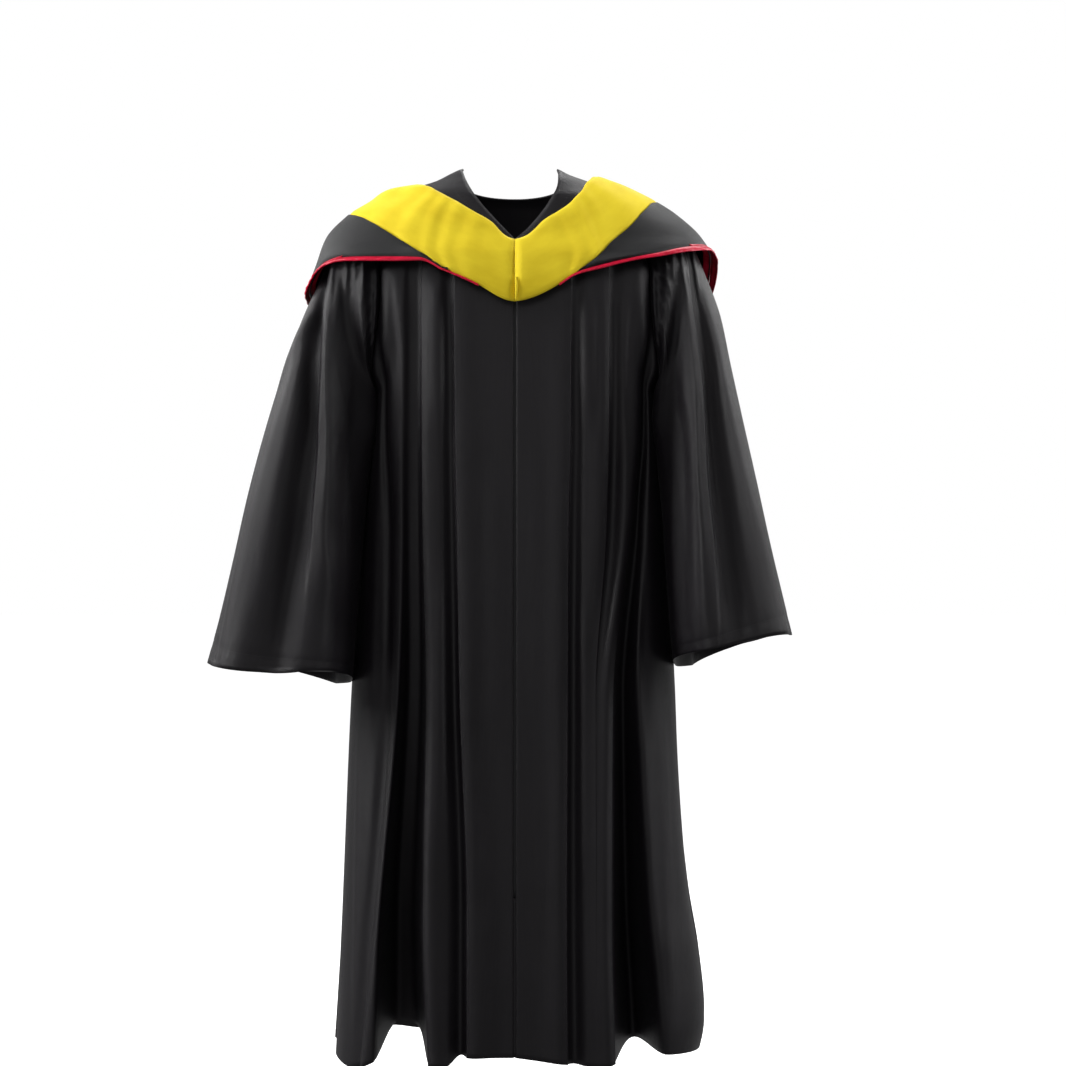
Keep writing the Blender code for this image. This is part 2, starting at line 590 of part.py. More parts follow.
def back_lift(share, z):
    """Round flutes across the back; slow waves of the share make their widths and heights uneven."""
    shifts = (Ripple(0.012, 5.0, 0.0), Ripple(0.008, 17.0, 0.0))
    phase = BACK_WAVES * (share + sum(r.size * math.sin(r.rate * share + r.start) for r in shifts))
    swell = Ripple(0.25, 9.0, 1.3)
    uneven = 1.0 + swell.size * math.sin(swell.rate * share + swell.start)
    height = by_level(AMPLITUDE_LEVELS, BACK_AMPLITUDES, z)
    return height * uneven * math.cos(2 * math.pi * phase)


def back_panel():
    grid = []
    for z in panel_levels():
        depth = armhole_depth(z) if z > UNDERARM_Z else 0.0
        sections = {side: Section(side, -1, z) for side in (-1, 1)}
        ends = {side: s.run_at_x(s.x_at_depth(depth)) for side, s in sections.items()}
        row = []
        for side in (-1, 1):
            end = ends[side]
            runs = [end * c / BACK_COLUMNS for c in range(BACK_COLUMNS)] + [end - SEAM_COLUMN, end]
            half = []
            for run in runs:
                calm = smoothstep((end - run) / BACK_CALM)
                x, y = sections[side].place(run, back_lift(side * run / end, z) * calm)
                half.append((x, max(y, SEAM_GAP), z + hem_shift(x, z)))
            row += half[::-1] if side < 0 else half[1:]
        grid.append(row)
    return grid


def make_body():
    sheet("front_left", front_panel(-1), GOWN_BLACK, CLOTH, flip=True)
    sheet("front_right", front_panel(1), GOWN_BLACK, CLOTH)
    sheet("back", back_panel(), GOWN_BLACK, CLOTH, flip=True)


# ---------------------------------------------------------------- closure
def make_zip():
    """The zip's tape behind the two centre-front edges, laid on the panels' inside."""
    behind = CLOTH + 2 * SEAM_GAP
    grid = []
    for r in range(ZIP_ROWS + 1):
        z = ZIP_TOP_Z - ZIP_LENGTH * r / ZIP_ROWS
        row = []
        for share in (-1.0, 0.0, 1.0):
            x = ZIP_HALF_WIDTH * share
            row.append((x, -GOWN.half_depth(1, z) + behind, z))
        grid.append(row)
    sheet("front_zip", grid, ZIP_BLACK, ZIP_TAPE)


# ---------------------------------------------------------------- sleeves
def ring_frame(table, t):
    """The ring at a place along the sleeve, its centre and its long half axis."""
    keys = list(range(len(table)))
    ring = Ring(*(monotone(keys, [getattr(row, name) for row in table], t) for name in Ring._fields))
    centre = ((ring.outer_x + ring.inner_x) / 2, (ring.outer_z + ring.inner_z) / 2)
    axis = ((ring.outer_x - ring.inner_x) / 2, (ring.outer_z - ring.inner_z) / 2)
    return ring, centre, axis


def turn_between(a, b):
    """The smaller turn from angle a to angle b, in degrees."""
    return (b - a + 180.0) % 360.0 - 180.0


def bell(angle, middle, width):
    """A smooth hump round the ring, 1 at its middle."""
    return math.exp(-(turn_between(middle, angle) / width) ** 2)


def sleeve_lift(folds, t, angle):
    """How far the folds and the head's gathers move the cloth out at a place on the sleeve."""
    lift = 0.0
    for fold in folds:
        middle = monotone(SLEEVE_FOLD_RINGS, fold.angle, t)
        height = monotone(SLEEVE_FOLD_RINGS, fold.height, t)
        lift += height * bell(angle, middle, fold.width)
    fade = math.sin(math.pi * min(1.0, t / GATHER_RINGS)) if t < GATHER_RINGS else 0.0
    gathers = math.cos(math.radians(angle) * RING_STEPS / 2)
    return lift + GATHER_HEIGHT * fade * gathers * smoothstep((130 - abs(angle)) / 40)


def sleeve_point(side, t, angle):
    table = SLEEVE_RIGHT if side > 0 else SLEEVE_LEFT
    folds = SLEEVE_FOLDS_RIGHT if side > 0 else SLEEVE_FOLDS_LEFT
    ring, centre, axis = ring_frame(table, t)
    power = 2.0 / (2.0 + (RING_SQUARENESS - 2.0) * min(1.0, t / 3.0))
    cosine = math.cos(math.radians(angle))
    sine = math.sin(math.radians(angle))
    along = math.copysign(abs(cosine) ** power, cosine)
    deep = math.copysign(abs(sine) ** power, sine)
    length = math.hypot(*axis)
    out_along = cosine / length
    out_deep = sine / ring.half_depth
    lift = sleeve_lift(folds, t, angle) / math.hypot(out_along, out_deep)
    reach = along + lift * out_along / length
    x = centre[0] + axis[0] * reach - ring.tuck * bell(angle, TUCK_ANGLE, TUCK_WIDTH)
    y = -(ring.forward + ring.half_depth * deep + lift * out_deep)
    z = centre[1] + axis[1] * reach
    near_cuff = smoothstep((t - (len(table) - 1 - CUFF_RINGS)) / CUFF_RINGS)
    z += near_cuff * CUFF_FRONT_RISE * bell(angle, CUFF_CORNER, CUFF_CORNER_WIDTH)
    z -= near_cuff * CUFF_BACK_DROP * bell(angle, -CUFF_CORNER, CUFF_CORNER_WIDTH)
    z += near_cuff * CUFF_MIDDLE_RISE[side] * bell(angle, CUFF_MIDDLE, CUFF_MIDDLE_WIDTH)
    return side * x, y, z


def sleeve_rows(side):
    rows = []
    head = []
    for c in range(RING_STEPS):
        step = c if c <= RING_STEPS // 2 else c - RING_STEPS
        x, y, z = armhole_point(side, step)
        head.append((x + side * 2 * SEAM_GAP, y, z))
    rows.append(head)
    table = SLEEVE_RIGHT if side > 0 else SLEEVE_LEFT
    for t in range(1, len(table)):
        row = []
        for c in range(RING_STEPS):
            angle = 360.0 * c / RING_STEPS
            row.append(sleeve_point(side, t, angle if angle <= 180 else angle - 360))
        rows.append(row)
    return rows


def make_sleeves():
    sheet("sleeve_left", sleeve_rows(-1), GOWN_BLACK, CLOTH, closed=True)
    sheet("sleeve_right", sleeve_rows(1), GOWN_BLACK, CLOTH, closed=True, flip=True)


# ---------------------------------------------------------------- hood
class HoodSide:
    """Half of the hood, from the point in front over the shoulder to the middle of the back."""

    def __init__(self, side):
        self.side = side
        stations = (HOOD_FRONT_RIGHT if side > 0 else HOOD_FRONT_LEFT) + HOOD_BACK
        self.last = len(stations) - 1
        self.keys = list(range(len(stations)))
        self.edges = {}
        for edge in ("top", "low", "hem"):
            xs = [getattr(s, edge + "_x") for s in stations]
            zs = [getattr(s, edge + "_z") for s in stations]
            angles = [abs(HOOD.angle_at(side, s.face, x, z)) for s, x, z in zip(stations, xs, zs)]
            self.edges[edge] = (angles, zs)

    def edge(self, name, s):
        """An edge of the hood at station s, as angle and height."""
        angles, zs = self.edges[name]
        return monotone(self.keys, angles, s), monotone(self.keys, zs, s)

    def between(self, inner, outer, s, share):
        """A point on the hood a share of the way from one edge to another at station s."""
        inner_angle, inner_z = self.edge(inner, s)
        outer_angle, outer_z = self.edge(outer, s)
        on_shoulder = math.sin(math.radians(inner_angle)) ** 4
        fall = share ** (1.0 + (TOP_CROWDING - 1.0) * on_shoulder)
        angle = inner_angle + share * (outer_angle - inner_angle)
        return HOOD.point(self.side * angle, inner_z + fall * (outer_z - inner_z))


def clear_centre(side, point):
    """Keeps half a seam's gap beside the centre line."""
    x = max(abs(point[0]), SEAM_GAP / 2)
    return side * x, point[1], point[2]


def towards(point, target, distance):
    """The point moved a short way towards another one."""
    gap = math.dist(point, target)
    share = distance / gap if gap > distance else 0.4
    return tuple(a + share * (b - a) for a, b in zip(point, target))


def beyond(point, source, distance):
    """The point moved a short way on, away from another one."""
    gap = math.dist(point, source)
    return tuple(a + distance / gap * (a - b) for a, b in zip(point, source))


def hood_stations(start, last):
    count = round((last - start) * HOOD_STEPS_PER_STATION)
    return [start + (last - start) * i / count for i in range(count + 1)]


def trim_rows(half):
    stations = hood_stations(0.0, half.last)
    return [[clear_centre(half.side, half.between("top", "low", s, r / TRIM_ROWS)) for s in stations]
            for r in range(TRIM_ROWS + 1)]


def shell_rows(half):
    grid = [[] for _ in range(SHELL_ROWS + 1)]
    for s in hood_stations(SHELL_START, half.last):
        column = [half.between("low", "hem", s, r / SHELL_ROWS) for r in range(SHELL_ROWS + 1)]
        column[0] = towards(column[0], column[1], 3 * SEAM_GAP)
        for row, point in zip(grid, column):
            row.append(clear_centre(half.side, point))
    return grid


def edge_rows(half):
    """The lining that shows as a narrow border below the hem, narrower under the trim."""
    grid = [[], []]
    for s in hood_stations(EDGE_START, half.last):
        hem = half.between("low", "hem", s, 1.0)
        inner = half.between("top", "low", s, 0.9)
        width = EDGE_WIDTH * (EDGE_NARROW + (1.0 - EDGE_NARROW) * smoothstep((s - EDGE_START) / 3.0))
        for row, share in zip(grid, (0.0, 1.0)):
            point = beyond(hem, inner, 3 * SEAM_GAP + share * width)
            row.append(clear_centre(half.side, point))
    return grid


def lining_rows(left, right):
    """The lining that fills the loop of the trim on the wearer's back."""
    grid = []
    stations = hood_stations(LINING_START, left.last)[:-1]
    for r, s in enumerate(stations):
        (left_angle, left_z), (right_angle, right_z) = left.edge("top", s), right.edge("top", s)
        start = 360.0 - left_angle
        row = []
        for c in range(LINING_COLUMNS + 1):
            share = c / LINING_COLUMNS
            angle = start + share * (right_angle - start)
            droop = LINING_DROOP * (1.0 - r / len(stations)) ** 2 * math.sin(math.pi * share)
            z = left_z + share * (right_z - left_z) - droop
            row.append(HOOD.point(angle if angle <= 180.0 else angle - 360.0, z))
        row[0] = towards(row[0], row[1], 3 * SEAM_GAP)
        row[-1] = towards(row[-1], row[-2], 3 * SEAM_GAP)
        grid.append(row)
    return grid


def make_hood():
    halves = {"left": HoodSide(-1), "right": HoodSide(1)}
    for name, half in halves.items():
        flip = half.side < 0
        sheet(f"hood_trim_{name}", trim_rows(half), TRIM_YELLOW, TRIM_CLOTH, flip=flip)
        sheet(f"hood_shell_{name}", shell_rows(half), HOOD_BLACK, HOOD_CLOTH, flip=flip)
        sheet(f"hood_edge_{name}", edge_rows(half), LINING_RED, HOOD_CLOTH, flip=flip)
    sheet("hood_lining", lining_rows(halves["left"], halves["right"]), LINING_RED, HOOD_CLOTH)


def main():
    global collection
    for old in list(bpy.data.objects):
        bpy.data.objects.remove(old)
    collection = bpy.data.collections.new("graduation_gown")
    bpy.context.scene.collection.children.link(collection)
    make_yoke()
    make_body()
    make_zip()
    make_sleeves()
    make_hood()


main()
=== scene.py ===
"""Looks of the graduation gown with hood: fine cloth, seams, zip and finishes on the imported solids.

Metres, +Z up, the front faces -Y. A side is -1 on the left, towards -X, and 1 on the right; a face
is 1 in front and -1 behind. The tables repeat the part's own sizes.
"""

import math
from collections import namedtuple

import bpy
import numpy as np
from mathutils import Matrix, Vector


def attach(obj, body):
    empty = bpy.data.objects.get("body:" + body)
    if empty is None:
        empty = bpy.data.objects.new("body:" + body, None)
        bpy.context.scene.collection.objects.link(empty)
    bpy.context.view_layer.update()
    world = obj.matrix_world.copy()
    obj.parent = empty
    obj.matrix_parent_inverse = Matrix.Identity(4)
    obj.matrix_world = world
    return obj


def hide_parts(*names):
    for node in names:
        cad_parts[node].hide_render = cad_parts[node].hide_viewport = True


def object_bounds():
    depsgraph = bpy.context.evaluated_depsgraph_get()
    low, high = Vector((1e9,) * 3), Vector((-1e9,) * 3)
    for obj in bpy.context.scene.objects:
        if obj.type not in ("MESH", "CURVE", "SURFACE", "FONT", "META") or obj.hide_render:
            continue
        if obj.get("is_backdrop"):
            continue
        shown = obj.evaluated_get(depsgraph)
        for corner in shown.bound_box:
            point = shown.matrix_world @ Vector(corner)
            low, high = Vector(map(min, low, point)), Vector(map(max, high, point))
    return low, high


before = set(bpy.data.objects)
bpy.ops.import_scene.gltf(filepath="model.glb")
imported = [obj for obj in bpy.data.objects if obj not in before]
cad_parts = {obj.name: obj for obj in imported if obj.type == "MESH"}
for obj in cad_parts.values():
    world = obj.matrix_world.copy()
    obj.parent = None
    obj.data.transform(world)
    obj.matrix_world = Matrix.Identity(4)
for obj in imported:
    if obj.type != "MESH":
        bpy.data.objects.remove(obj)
CAD_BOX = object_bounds()
SIDES = {"left": -1, "right": 1}


# ---------------------------------------------------------------- interpolation
def smoothstep(value):
    value = np.clip(value, 0.0, 1.0)
    return value * value * (3.0 - 2.0 * value)


def bump(distance, width):
    """A smooth hump, 1 in its middle."""
    return np.exp(-(distance / width) ** 2)


def turn_between(a, b):
    return (b - a + 180.0) % 360.0 - 180.0


def bell(angle, middle, width):
    """A smooth hump round a turn, in degrees."""
    return bump(turn_between(middle, angle), width)


def monotone(keys, values, at):
    """A smooth curve through the values that never overshoots them; at may be an array."""
    keys = np.asarray(keys, float)
    values = np.asarray(values, float)
    at = np.clip(at, keys[0], keys[-1])
    slopes = np.diff(values) / np.diff(keys)
    tangents = np.concatenate((slopes[:1], np.zeros(len(keys) - 2), slopes[-1:]))
    product = slopes[:-1] * slopes[1:]
    total = slopes[:-1] + slopes[1:]
    rising = product > 0.0
    tangents[1:-1][rising] = 2.0 * product[rising] / total[rising]
    i = np.clip(np.searchsorted(keys, at, side="right") - 1, 0, len(keys) - 2)
    step = keys[i + 1] - keys[i]
    t = (at - keys[i]) / step
    return (values[i] * (1 + 2 * t) * (1 - t) ** 2 + values[i + 1] * t * t * (3 - 2 * t)
            + step * (tangents[i] * t * (1 - t) ** 2 - tangents[i + 1] * t * t * (1 - t)))


def by_level(levels, values, z):
    return monotone([-level for level in levels], values, -z)


def table(columns, *rows):
    """Rows with named columns."""
    row_type = namedtuple("Row", columns)
    return [row_type(*row) for row in rows]


class Curves:
    """Rows with named columns, read smoothly between the rows by the first column."""

    def __init__(self, columns, *rows):
        self.columns = dict(zip(columns.split(), zip(*rows)))
        self.sign = 1 if rows[-1][0] > rows[0][0] else -1
        self.keys = [self.sign * row[0] for row in rows]

    def read(self, column, at):
        return monotone(self.keys, self.columns[column], self.sign * at)


def numbered(columns, *rows):
    """Curves that are read by the rows' own numbers, from 0."""
    return Curves("number " + columns, *((number, *row) for number, row in enumerate(rows)))


# ---------------------------------------------------------------- level sections
class Mantle(Curves):
    """A draped surface given by level superellipses; angle 0 is the front, +90 the +X side."""

    def half_width(self, side, z):
        return self.read("right" if side > 0 else "left", z)

    def half_depth(self, face, z):
        return self.read("front" if face > 0 else "back", z)

    def point(self, angle, z, lift=0.0):
        """The point at an angle and height, moved out by lift; all may be arrays."""
        angle, z, lift = np.broadcast_arrays(np.asarray(angle, float), z, lift)
        side = np.where(angle > 0, 1.0, -1.0)
        face = np.where(np.abs(angle) <= 90, 1.0, -1.0)
        width = np.where(side > 0, self.half_width(1, z), self.half_width(-1, z))
        depth = np.where(face > 0, self.half_depth(1, z), self.half_depth(-1, z))
        squareness = self.read("squareness", z)
        across = np.abs(np.sin(np.radians(angle))) ** (2.0 / squareness)
        along = np.abs(np.cos(np.radians(angle))) ** (2.0 / squareness)
        out_x = across ** (squareness - 1) / width
        out_y = along ** (squareness - 1) / depth
        length = np.hypot(out_x, out_y)
        return np.stack((side * (width * across + lift * out_x / length),
                         -face * (depth * along + lift * out_y / length), z), axis=-1)

    def angle_at(self, side, face, x, z):
        ratio = min(1.0, x / self.half_width(side, z))
        angle = math.degrees(math.asin(ratio ** (self.read("squareness", z) / 2.0)))
        return side * (angle if face > 0 else 180.0 - angle)


LEVEL_COLUMNS = "z left right front back squareness"
GOWN = Mantle(
    LEVEL_COLUMNS,
    (0.0, 0.078, 0.063, 0.070, 0.066, 2.0),
    (-0.009, 0.097, 0.078, 0.076, 0.074, 1.95),
    (-0.019, 0.117, 0.106, 0.081, 0.080, 1.9),
    (-0.0285, 0.1475, 0.134, 0.084, 0.084, 1.9),
    (-0.038, 0.180, 0.162, 0.088, 0.088, 2.0),
    (-0.046, 0.194, 0.187, 0.092, 0.092, 2.2),
    (-0.060, 0.200, 0.200, 0.097, 0.096, 2.5),
    (-0.090, 0.203, 0.203, 0.106, 0.104, 3.2),
    (-0.130, 0.200, 0.200, 0.115, 0.113, 3.8),
    (-0.200, 0.198, 0.198, 0.126, 0.123, 4.0),
    (-0.340, 0.204, 0.204, 0.137, 0.134, 3.6),
    (-0.500, 0.222, 0.218, 0.146, 0.144, 3.0),
    (-0.650, 0.233, 0.228, 0.153, 0.153, 2.8),
    (-0.756, 0.240, 0.234, 0.158, 0.160, 2.7),
    (-0.850, 0.2445, 0.2375, 0.162, 0.166, 2.7),
    (-0.950, 0.2485, 0.2435, 0.166, 0.172, 2.7),
    (-1.060, 0.253, 0.254, 0.169, 0.180, 2.7),
    (-1.150, 0.257, 0.269, 0.172, 0.186, 2.7),
    (-1.240, 0.261, 0.277, 0.174, 0.191, 2.7),
    (-1.320, 0.265, 0.260, 0.176, 0.197, 2.7),
)
HOOD = Mantle(
    LEVEL_COLUMNS,
    (-0.004, 0.090, 0.098, 0.078, 0.078, 1.9),
    (-0.010, 0.105, 0.118, 0.081, 0.082, 1.85),
    (-0.018, 0.122, 0.143, 0.085, 0.087, 1.85),
    (-0.024, 0.145, 0.159, 0.088, 0.090, 1.85),
    (-0.032, 0.190, 0.176, 0.092, 0.094, 1.9),
    (-0.048, 0.213, 0.206, 0.099, 0.101, 2.05),
    (-0.068, 0.245, 0.236, 0.106, 0.109, 2.3),
    (-0.104, 0.279, 0.2735, 0.118, 0.122, 2.8),
    (-0.137, 0.290, 0.291, 0.132, 0.138, 3.3),
    (-0.188, 0.304, 0.296, 0.142, 0.158, 3.3),
    (-0.260, 0.306, 0.300, 0.146, 0.163, 3.2),
    (-0.400, 0.306, 0.300, 0.150, 0.164, 3.2),
    (-0.600, 0.306, 0.300, 0.155, 0.177, 3.2),
    (-0.800, 0.306, 0.300, 0.160, 0.190, 3.2),
)
SECTION_STEPS = 240


class Section:
    """A quarter of one of the gown's level sections, measured along the cloth from its centre line."""

    def __init__(self, side, face, z):
        self.side = side
        self.face = face
        self.half_width = float(GOWN.half_width(side, z))
        self.half_depth = float(GOWN.half_depth(face, z))
        self.squareness = float(GOWN.read("squareness", z))
        quarter = np.linspace(0.0, math.pi / 2, SECTION_STEPS + 1)
        power = 2.0 / self.squareness
        self.xs = self.half_width * np.sin(quarter) ** power
        self.ys = self.half_depth * np.maximum(0.0, np.cos(quarter)) ** power
        self.ys[-1] = 0.0
        steps = np.hypot(np.diff(self.xs), np.diff(self.ys))
        self.runs = np.concatenate(([0.0], np.cumsum(steps)))

    def run_at_x(self, x):
        return float(np.interp(x, self.xs, self.runs))

    def x_at_depth(self, y):
        share = 1.0 - (y / self.half_depth) ** self.squareness
        return self.half_width * max(0.0, share) ** (1.0 / self.squareness)

    def place(self, run, lift):
        """The points this far along the cloth, moved out by lift, as x and y."""
        x = np.interp(run, self.runs, self.xs)
        y = np.interp(run, self.runs, self.ys)
        out_x = (x / self.half_width) ** (self.squareness - 1) / self.half_width
        out_y = (np.maximum(y, 0.0) / self.half_depth) ** (self.squareness - 1) / self.half_depth
        length = np.hypot(out_x, out_y)
        return self.side * (x + lift * out_x / length), -self.face * (y + lift * out_y / length)


# ---------------------------------------------------------------- cloth, seams and armhole
CLOTH = 0.0016
HOOD_CLOTH = 0.0018
TRIM_CLOTH = 0.0022
SEAM_GAP = 0.0003
RING_STEPS = 36
YOKE_STEP = 6
YOKE_SEAM_SHARE = 0.6
HEM_Z = -1.280
ARMHOLE_Z = -0.200
ARMHOLE_HALF_HEIGHT = 0.140
ARMHOLE_HALF_DEPTH = 0.085


def armhole_level(step):
    """Height of an armhole point; step 0 is the top and half of RING_STEPS the underarm."""
    return ARMHOLE_Z + ARMHOLE_HALF_HEIGHT * np.cos(2 * math.pi * np.asarray(step) / RING_STEPS)


def armhole_depth(z):
    share = (z - ARMHOLE_Z) / ARMHOLE_HALF_HEIGHT
    return ARMHOLE_HALF_DEPTH * math.sqrt(max(0.0, 1.0 - share * share))


def armhole_angle(side, face, z):
    ratio = min(1.0, armhole_depth(z) / GOWN.half_depth(face, z))
    angle = math.degrees(math.acos(ratio ** (GOWN.read("squareness", z) / 2.0)))
    return side * (angle if face > 0 else 180.0 - angle)


def armhole_point(side, step, lift):
    """A point of the armhole's edge; positive steps run down its front."""
    z = float(armhole_level(step))
    face = 1 if 0 <= step <= RING_STEPS / 2 else -1
    return GOWN.point(armhole_angle(side, face, z), z, lift)


YOKE_Z = float(armhole_level(YOKE_STEP))
UNDERARM_Z = float(armhole_level(RING_STEPS / 2))


# ---------------------------------------------------------------- materials
class Shader:
    """A small builder for one procedural material."""

    def __init__(self, name):
        self.material = bpy.data.materials.new(name)
        self.material.use_nodes = True
        self.tree = self.material.node_tree
        self.principled = self.tree.nodes["Principled BSDF"]

    def add(self, kind, inputs=None, **settings):
        node = self.tree.nodes.new(kind)
        for key, value in settings.items():
            setattr(node, key, value)
        for key, value in (inputs or {}).items():
            self.feed(node.inputs[key], value)
        return node

    def feed(self, socket, value):
        if isinstance(value, bpy.types.NodeSocket):
            self.tree.links.new(value, socket)
        else:
            socket.default_value = value

    def set(self, **values):
        for name, value in values.items():
            self.feed(self.principled.inputs[name.replace("_", " ")], value)

    def uv(self):
        return self.add("ShaderNodeUVMap", uv_map="grain").outputs[0]

    def place(self):
        return self.add("ShaderNodeTexCoord").outputs["Object"]

    def math(self, operation, a, b=0.0):
        return self.add("ShaderNodeMath", {0: a, 1: b}, operation=operation).outputs[0]

    def mix(self, *parts):
        """The sum of values, each given with its weight."""
        total = None
        for value, weight in parts:
            part = self.math("MULTIPLY", value, weight)
            total = part if total is None else self.math("ADD", total, part)
        return total

    def noise(self, vector, scale, detail=2.0, roughness=0.5):
        inputs = {"Vector": vector, "Scale": scale, "Detail": detail, "Roughness": roughness}
        return self.add("ShaderNodeTexNoise", inputs).outputs["Fac"]

    def threads(self, uv, across, down, detail=2.0, roughness=0.5):
        """Noise drawn out along the cloth, with so many grains for each metre across and down."""
        scaled = self.add("ShaderNodeMapping", {"Vector": uv, "Scale": (across, down, 1.0)}).outputs[0]
        return self.noise(scaled, 1.0, detail, roughness)

    def weave(self, uv, pitch):
        """Height of a plain weave: crossing threads of one pitch."""
        split = self.add("ShaderNodeSeparateXYZ", {0: uv})
        turn = 2 * math.pi / pitch
        warp = self.math("SINE", self.math("MULTIPLY", split.outputs[0], turn))
        weft = self.math("SINE", self.math("MULTIPLY", split.outputs[1], turn))
        return self.math("MULTIPLY", warp, weft)

    def spread(self, value, low, high):
        """Maps noise about its usual range to low ... high."""
        inputs = {"Value": value, "From Min": 0.3, "From Max": 0.7, "To Min": low, "To Max": high}
        return self.add("ShaderNodeMapRange", inputs).outputs[0]

    def blend(self, factor, dark, light):
        inputs = {0: factor, 6: (*dark, 1.0), 7: (*light, 1.0)}
        return self.add("ShaderNodeMix", inputs, data_type="RGBA").outputs[2]

    def relief(self, *layers):
        """Chains bumps, given as (height, distance, strength) from the coarsest to the finest."""
        normal = None
        for height, distance, strength in layers:
            inputs = {"Height": height, "Distance": distance, "Strength": strength}
            if normal is not None:
                inputs["Normal"] = normal
            normal = self.add("ShaderNodeBump", inputs).outputs[0]
        self.set(Normal=normal)


def polyester_material(name, dark, light, roughness, sheen):
    s = Shader(name)
    uv = s.uv()
    patches = s.noise(s.place(), 9.0)
    tone = s.mix((s.threads(uv, 420.0, 9.0, 3.0), 0.55), (patches, 0.45))
    crumple = s.threads(uv, 26.0, 11.0, 3.0, 0.55)
    fibre = s.threads(uv, 1500.0, 1100.0, 1.0)
    s.relief((crumple, 0.0016, 0.5), (s.weave(uv, 0.0011), 0.00016, 0.45), (fibre, 0.0001, 0.3))
    s.set(Base_Color=s.blend(s.spread(tone, 0.0, 1.0), dark, light),
          Roughness=s.spread(patches, roughness - 0.05, roughness + 0.05), Specular_IOR_Level=0.25,
          Sheen_Weight=sheen, Sheen_Roughness=0.30, Sheen_Tint=(0.75, 0.75, 0.80, 1.0))
    return s.material


def velvet_material(name, dark, light):
    s = Shader(name)
    uv = s.uv()
    brushed_nap_and_shade = s.threads(uv, 16.0, 30.0, 3.0, 0.55)
    pile = s.threads(uv, 1300.0, 1300.0)
    # The colour follows the brushed nap's relief: painted shade in its hollows and painted light on its
    # raised parts, mixed with a random tone and the fine pile's grain.
    tone = s.mix((brushed_nap_and_shade, 0.5), (s.noise(s.place(), 14.0), 0.3), (pile, 0.2))
    s.relief((brushed_nap_and_shade, 0.0012, 0.35), (pile, 0.00035, 0.6))
    s.set(Base_Color=s.blend(s.spread(tone, 0.0, 1.0), dark, light), Roughness=s.spread(pile, 0.70, 0.85),
          Specular_IOR_Level=0.2, Sheen_Weight=0.35, Sheen_Roughness=0.35, Sheen_Tint=(1.0, 0.92, 0.35, 1.0))
    return s.material


def satin_material(name, dark, light):
    s = Shader(name)
    uv = s.uv()
    threads = s.threads(uv, 60.0, 1400.0)
    folds = s.threads(uv, 55.0, 30.0, 3.0, 0.6)
    s.relief((folds, 0.0012, 0.5), (threads, 0.0001, 0.3))
    # The colour follows the folds' relief: painted shade in their hollows and painted light on their crests.
    s.set(Base_Color=s.blend(s.spread(folds, 0.0, 1.0), dark, light), Roughness=s.spread(threads, 0.24, 0.36),
          Specular_IOR_Level=0.42, Specular_Tint=(1.0, 0.50, 0.60, 1.0), Anisotropic=0.5)
    return s.material


def nylon_material(name, dark, light):
    s = Shader(name)
    grain = s.noise(s.place(), 900.0)
    s.relief((grain, 0.0001, 0.3))
    s.set(Base_Color=s.blend(grain, dark, light), Roughness=s.spread(grain, 0.35, 0.5))
    return s.material


GOWN_BLACK = polyester_material("gown_polyester", (0.0042, 0.0033, 0.0046), (0.0074, 0.0060, 0.0080),
                                0.42, 0.02)
HOOD_BLACK = polyester_material("hood_polyester", (0.0032, 0.0032, 0.0039), (0.0058, 0.0058, 0.0068),
                                0.46, 0.02)
TAPE_BLACK = polyester_material("zip_tape", (0.0070, 0.0070, 0.0075), (0.0130, 0.0130, 0.0140),
                                0.60, 0.10)
# The velvet's dark and light colours: painted shade and painted light along its nap, mixed with a random
# tone.
VELVET = velvet_material("hood_velvet", (0.62, 0.45, 0.007), (0.82, 0.65, 0.025))
# The satin's dark and light colours: painted shade and painted light along its folds.
SATIN = satin_material("hood_satin", (0.36, 0.002, 0.016), (0.60, 0.006, 0.040))
NYLON = nylon_material("zip_coil", (0.008, 0.008, 0.009), (0.018, 0.018, 0.020))


# ---------------------------------------------------------------- cloth meshes
ZIP_TAPE = 0.0009
Fabric = namedtuple("Fabric", "material slot wall")
POLYESTER = Fabric(GOWN_BLACK, "gown_cloth", CLOTH)
TAPE = Fabric(TAPE_BLACK, "zip_tape", ZIP_TAPE)
BAND = Fabric(VELVET, "hood_velvet", TRIM_CLOTH)
SHELL = Fabric(HOOD_BLACK, "hood_cloth", HOOD_CLOTH)
LINING = Fabric(SATIN, "hood_satin", HOOD_CLOTH)
TURN = Fabric(SATIN, "hood_satin", HOOD_CLOTH / 2)


def along(points, axis):
    """Distance along a grid's rows or columns, from its first one."""
    steps = np.linalg.norm(np.diff(points, axis=axis), axis=-1)
    start = np.zeros_like(np.take(steps, [0], axis=axis))
    return np.concatenate((start, np.cumsum(steps, axis=axis)), axis=axis)


def link(name, data):
    thing = bpy.data.objects.new(name, data)
    bpy.context.scene.collection.objects.link(thing)
    return thing


def mesh_piece(name, vertices, faces, material):
    mesh = bpy.data.meshes.new(name)
    mesh.from_pydata(vertices, [], faces)
    mesh.materials.append(material)
    return link(name, mesh)


def join_as_piece(piece, slot, *nodes):
    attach(piece, "root")
    if nodes:
        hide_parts(*nodes)


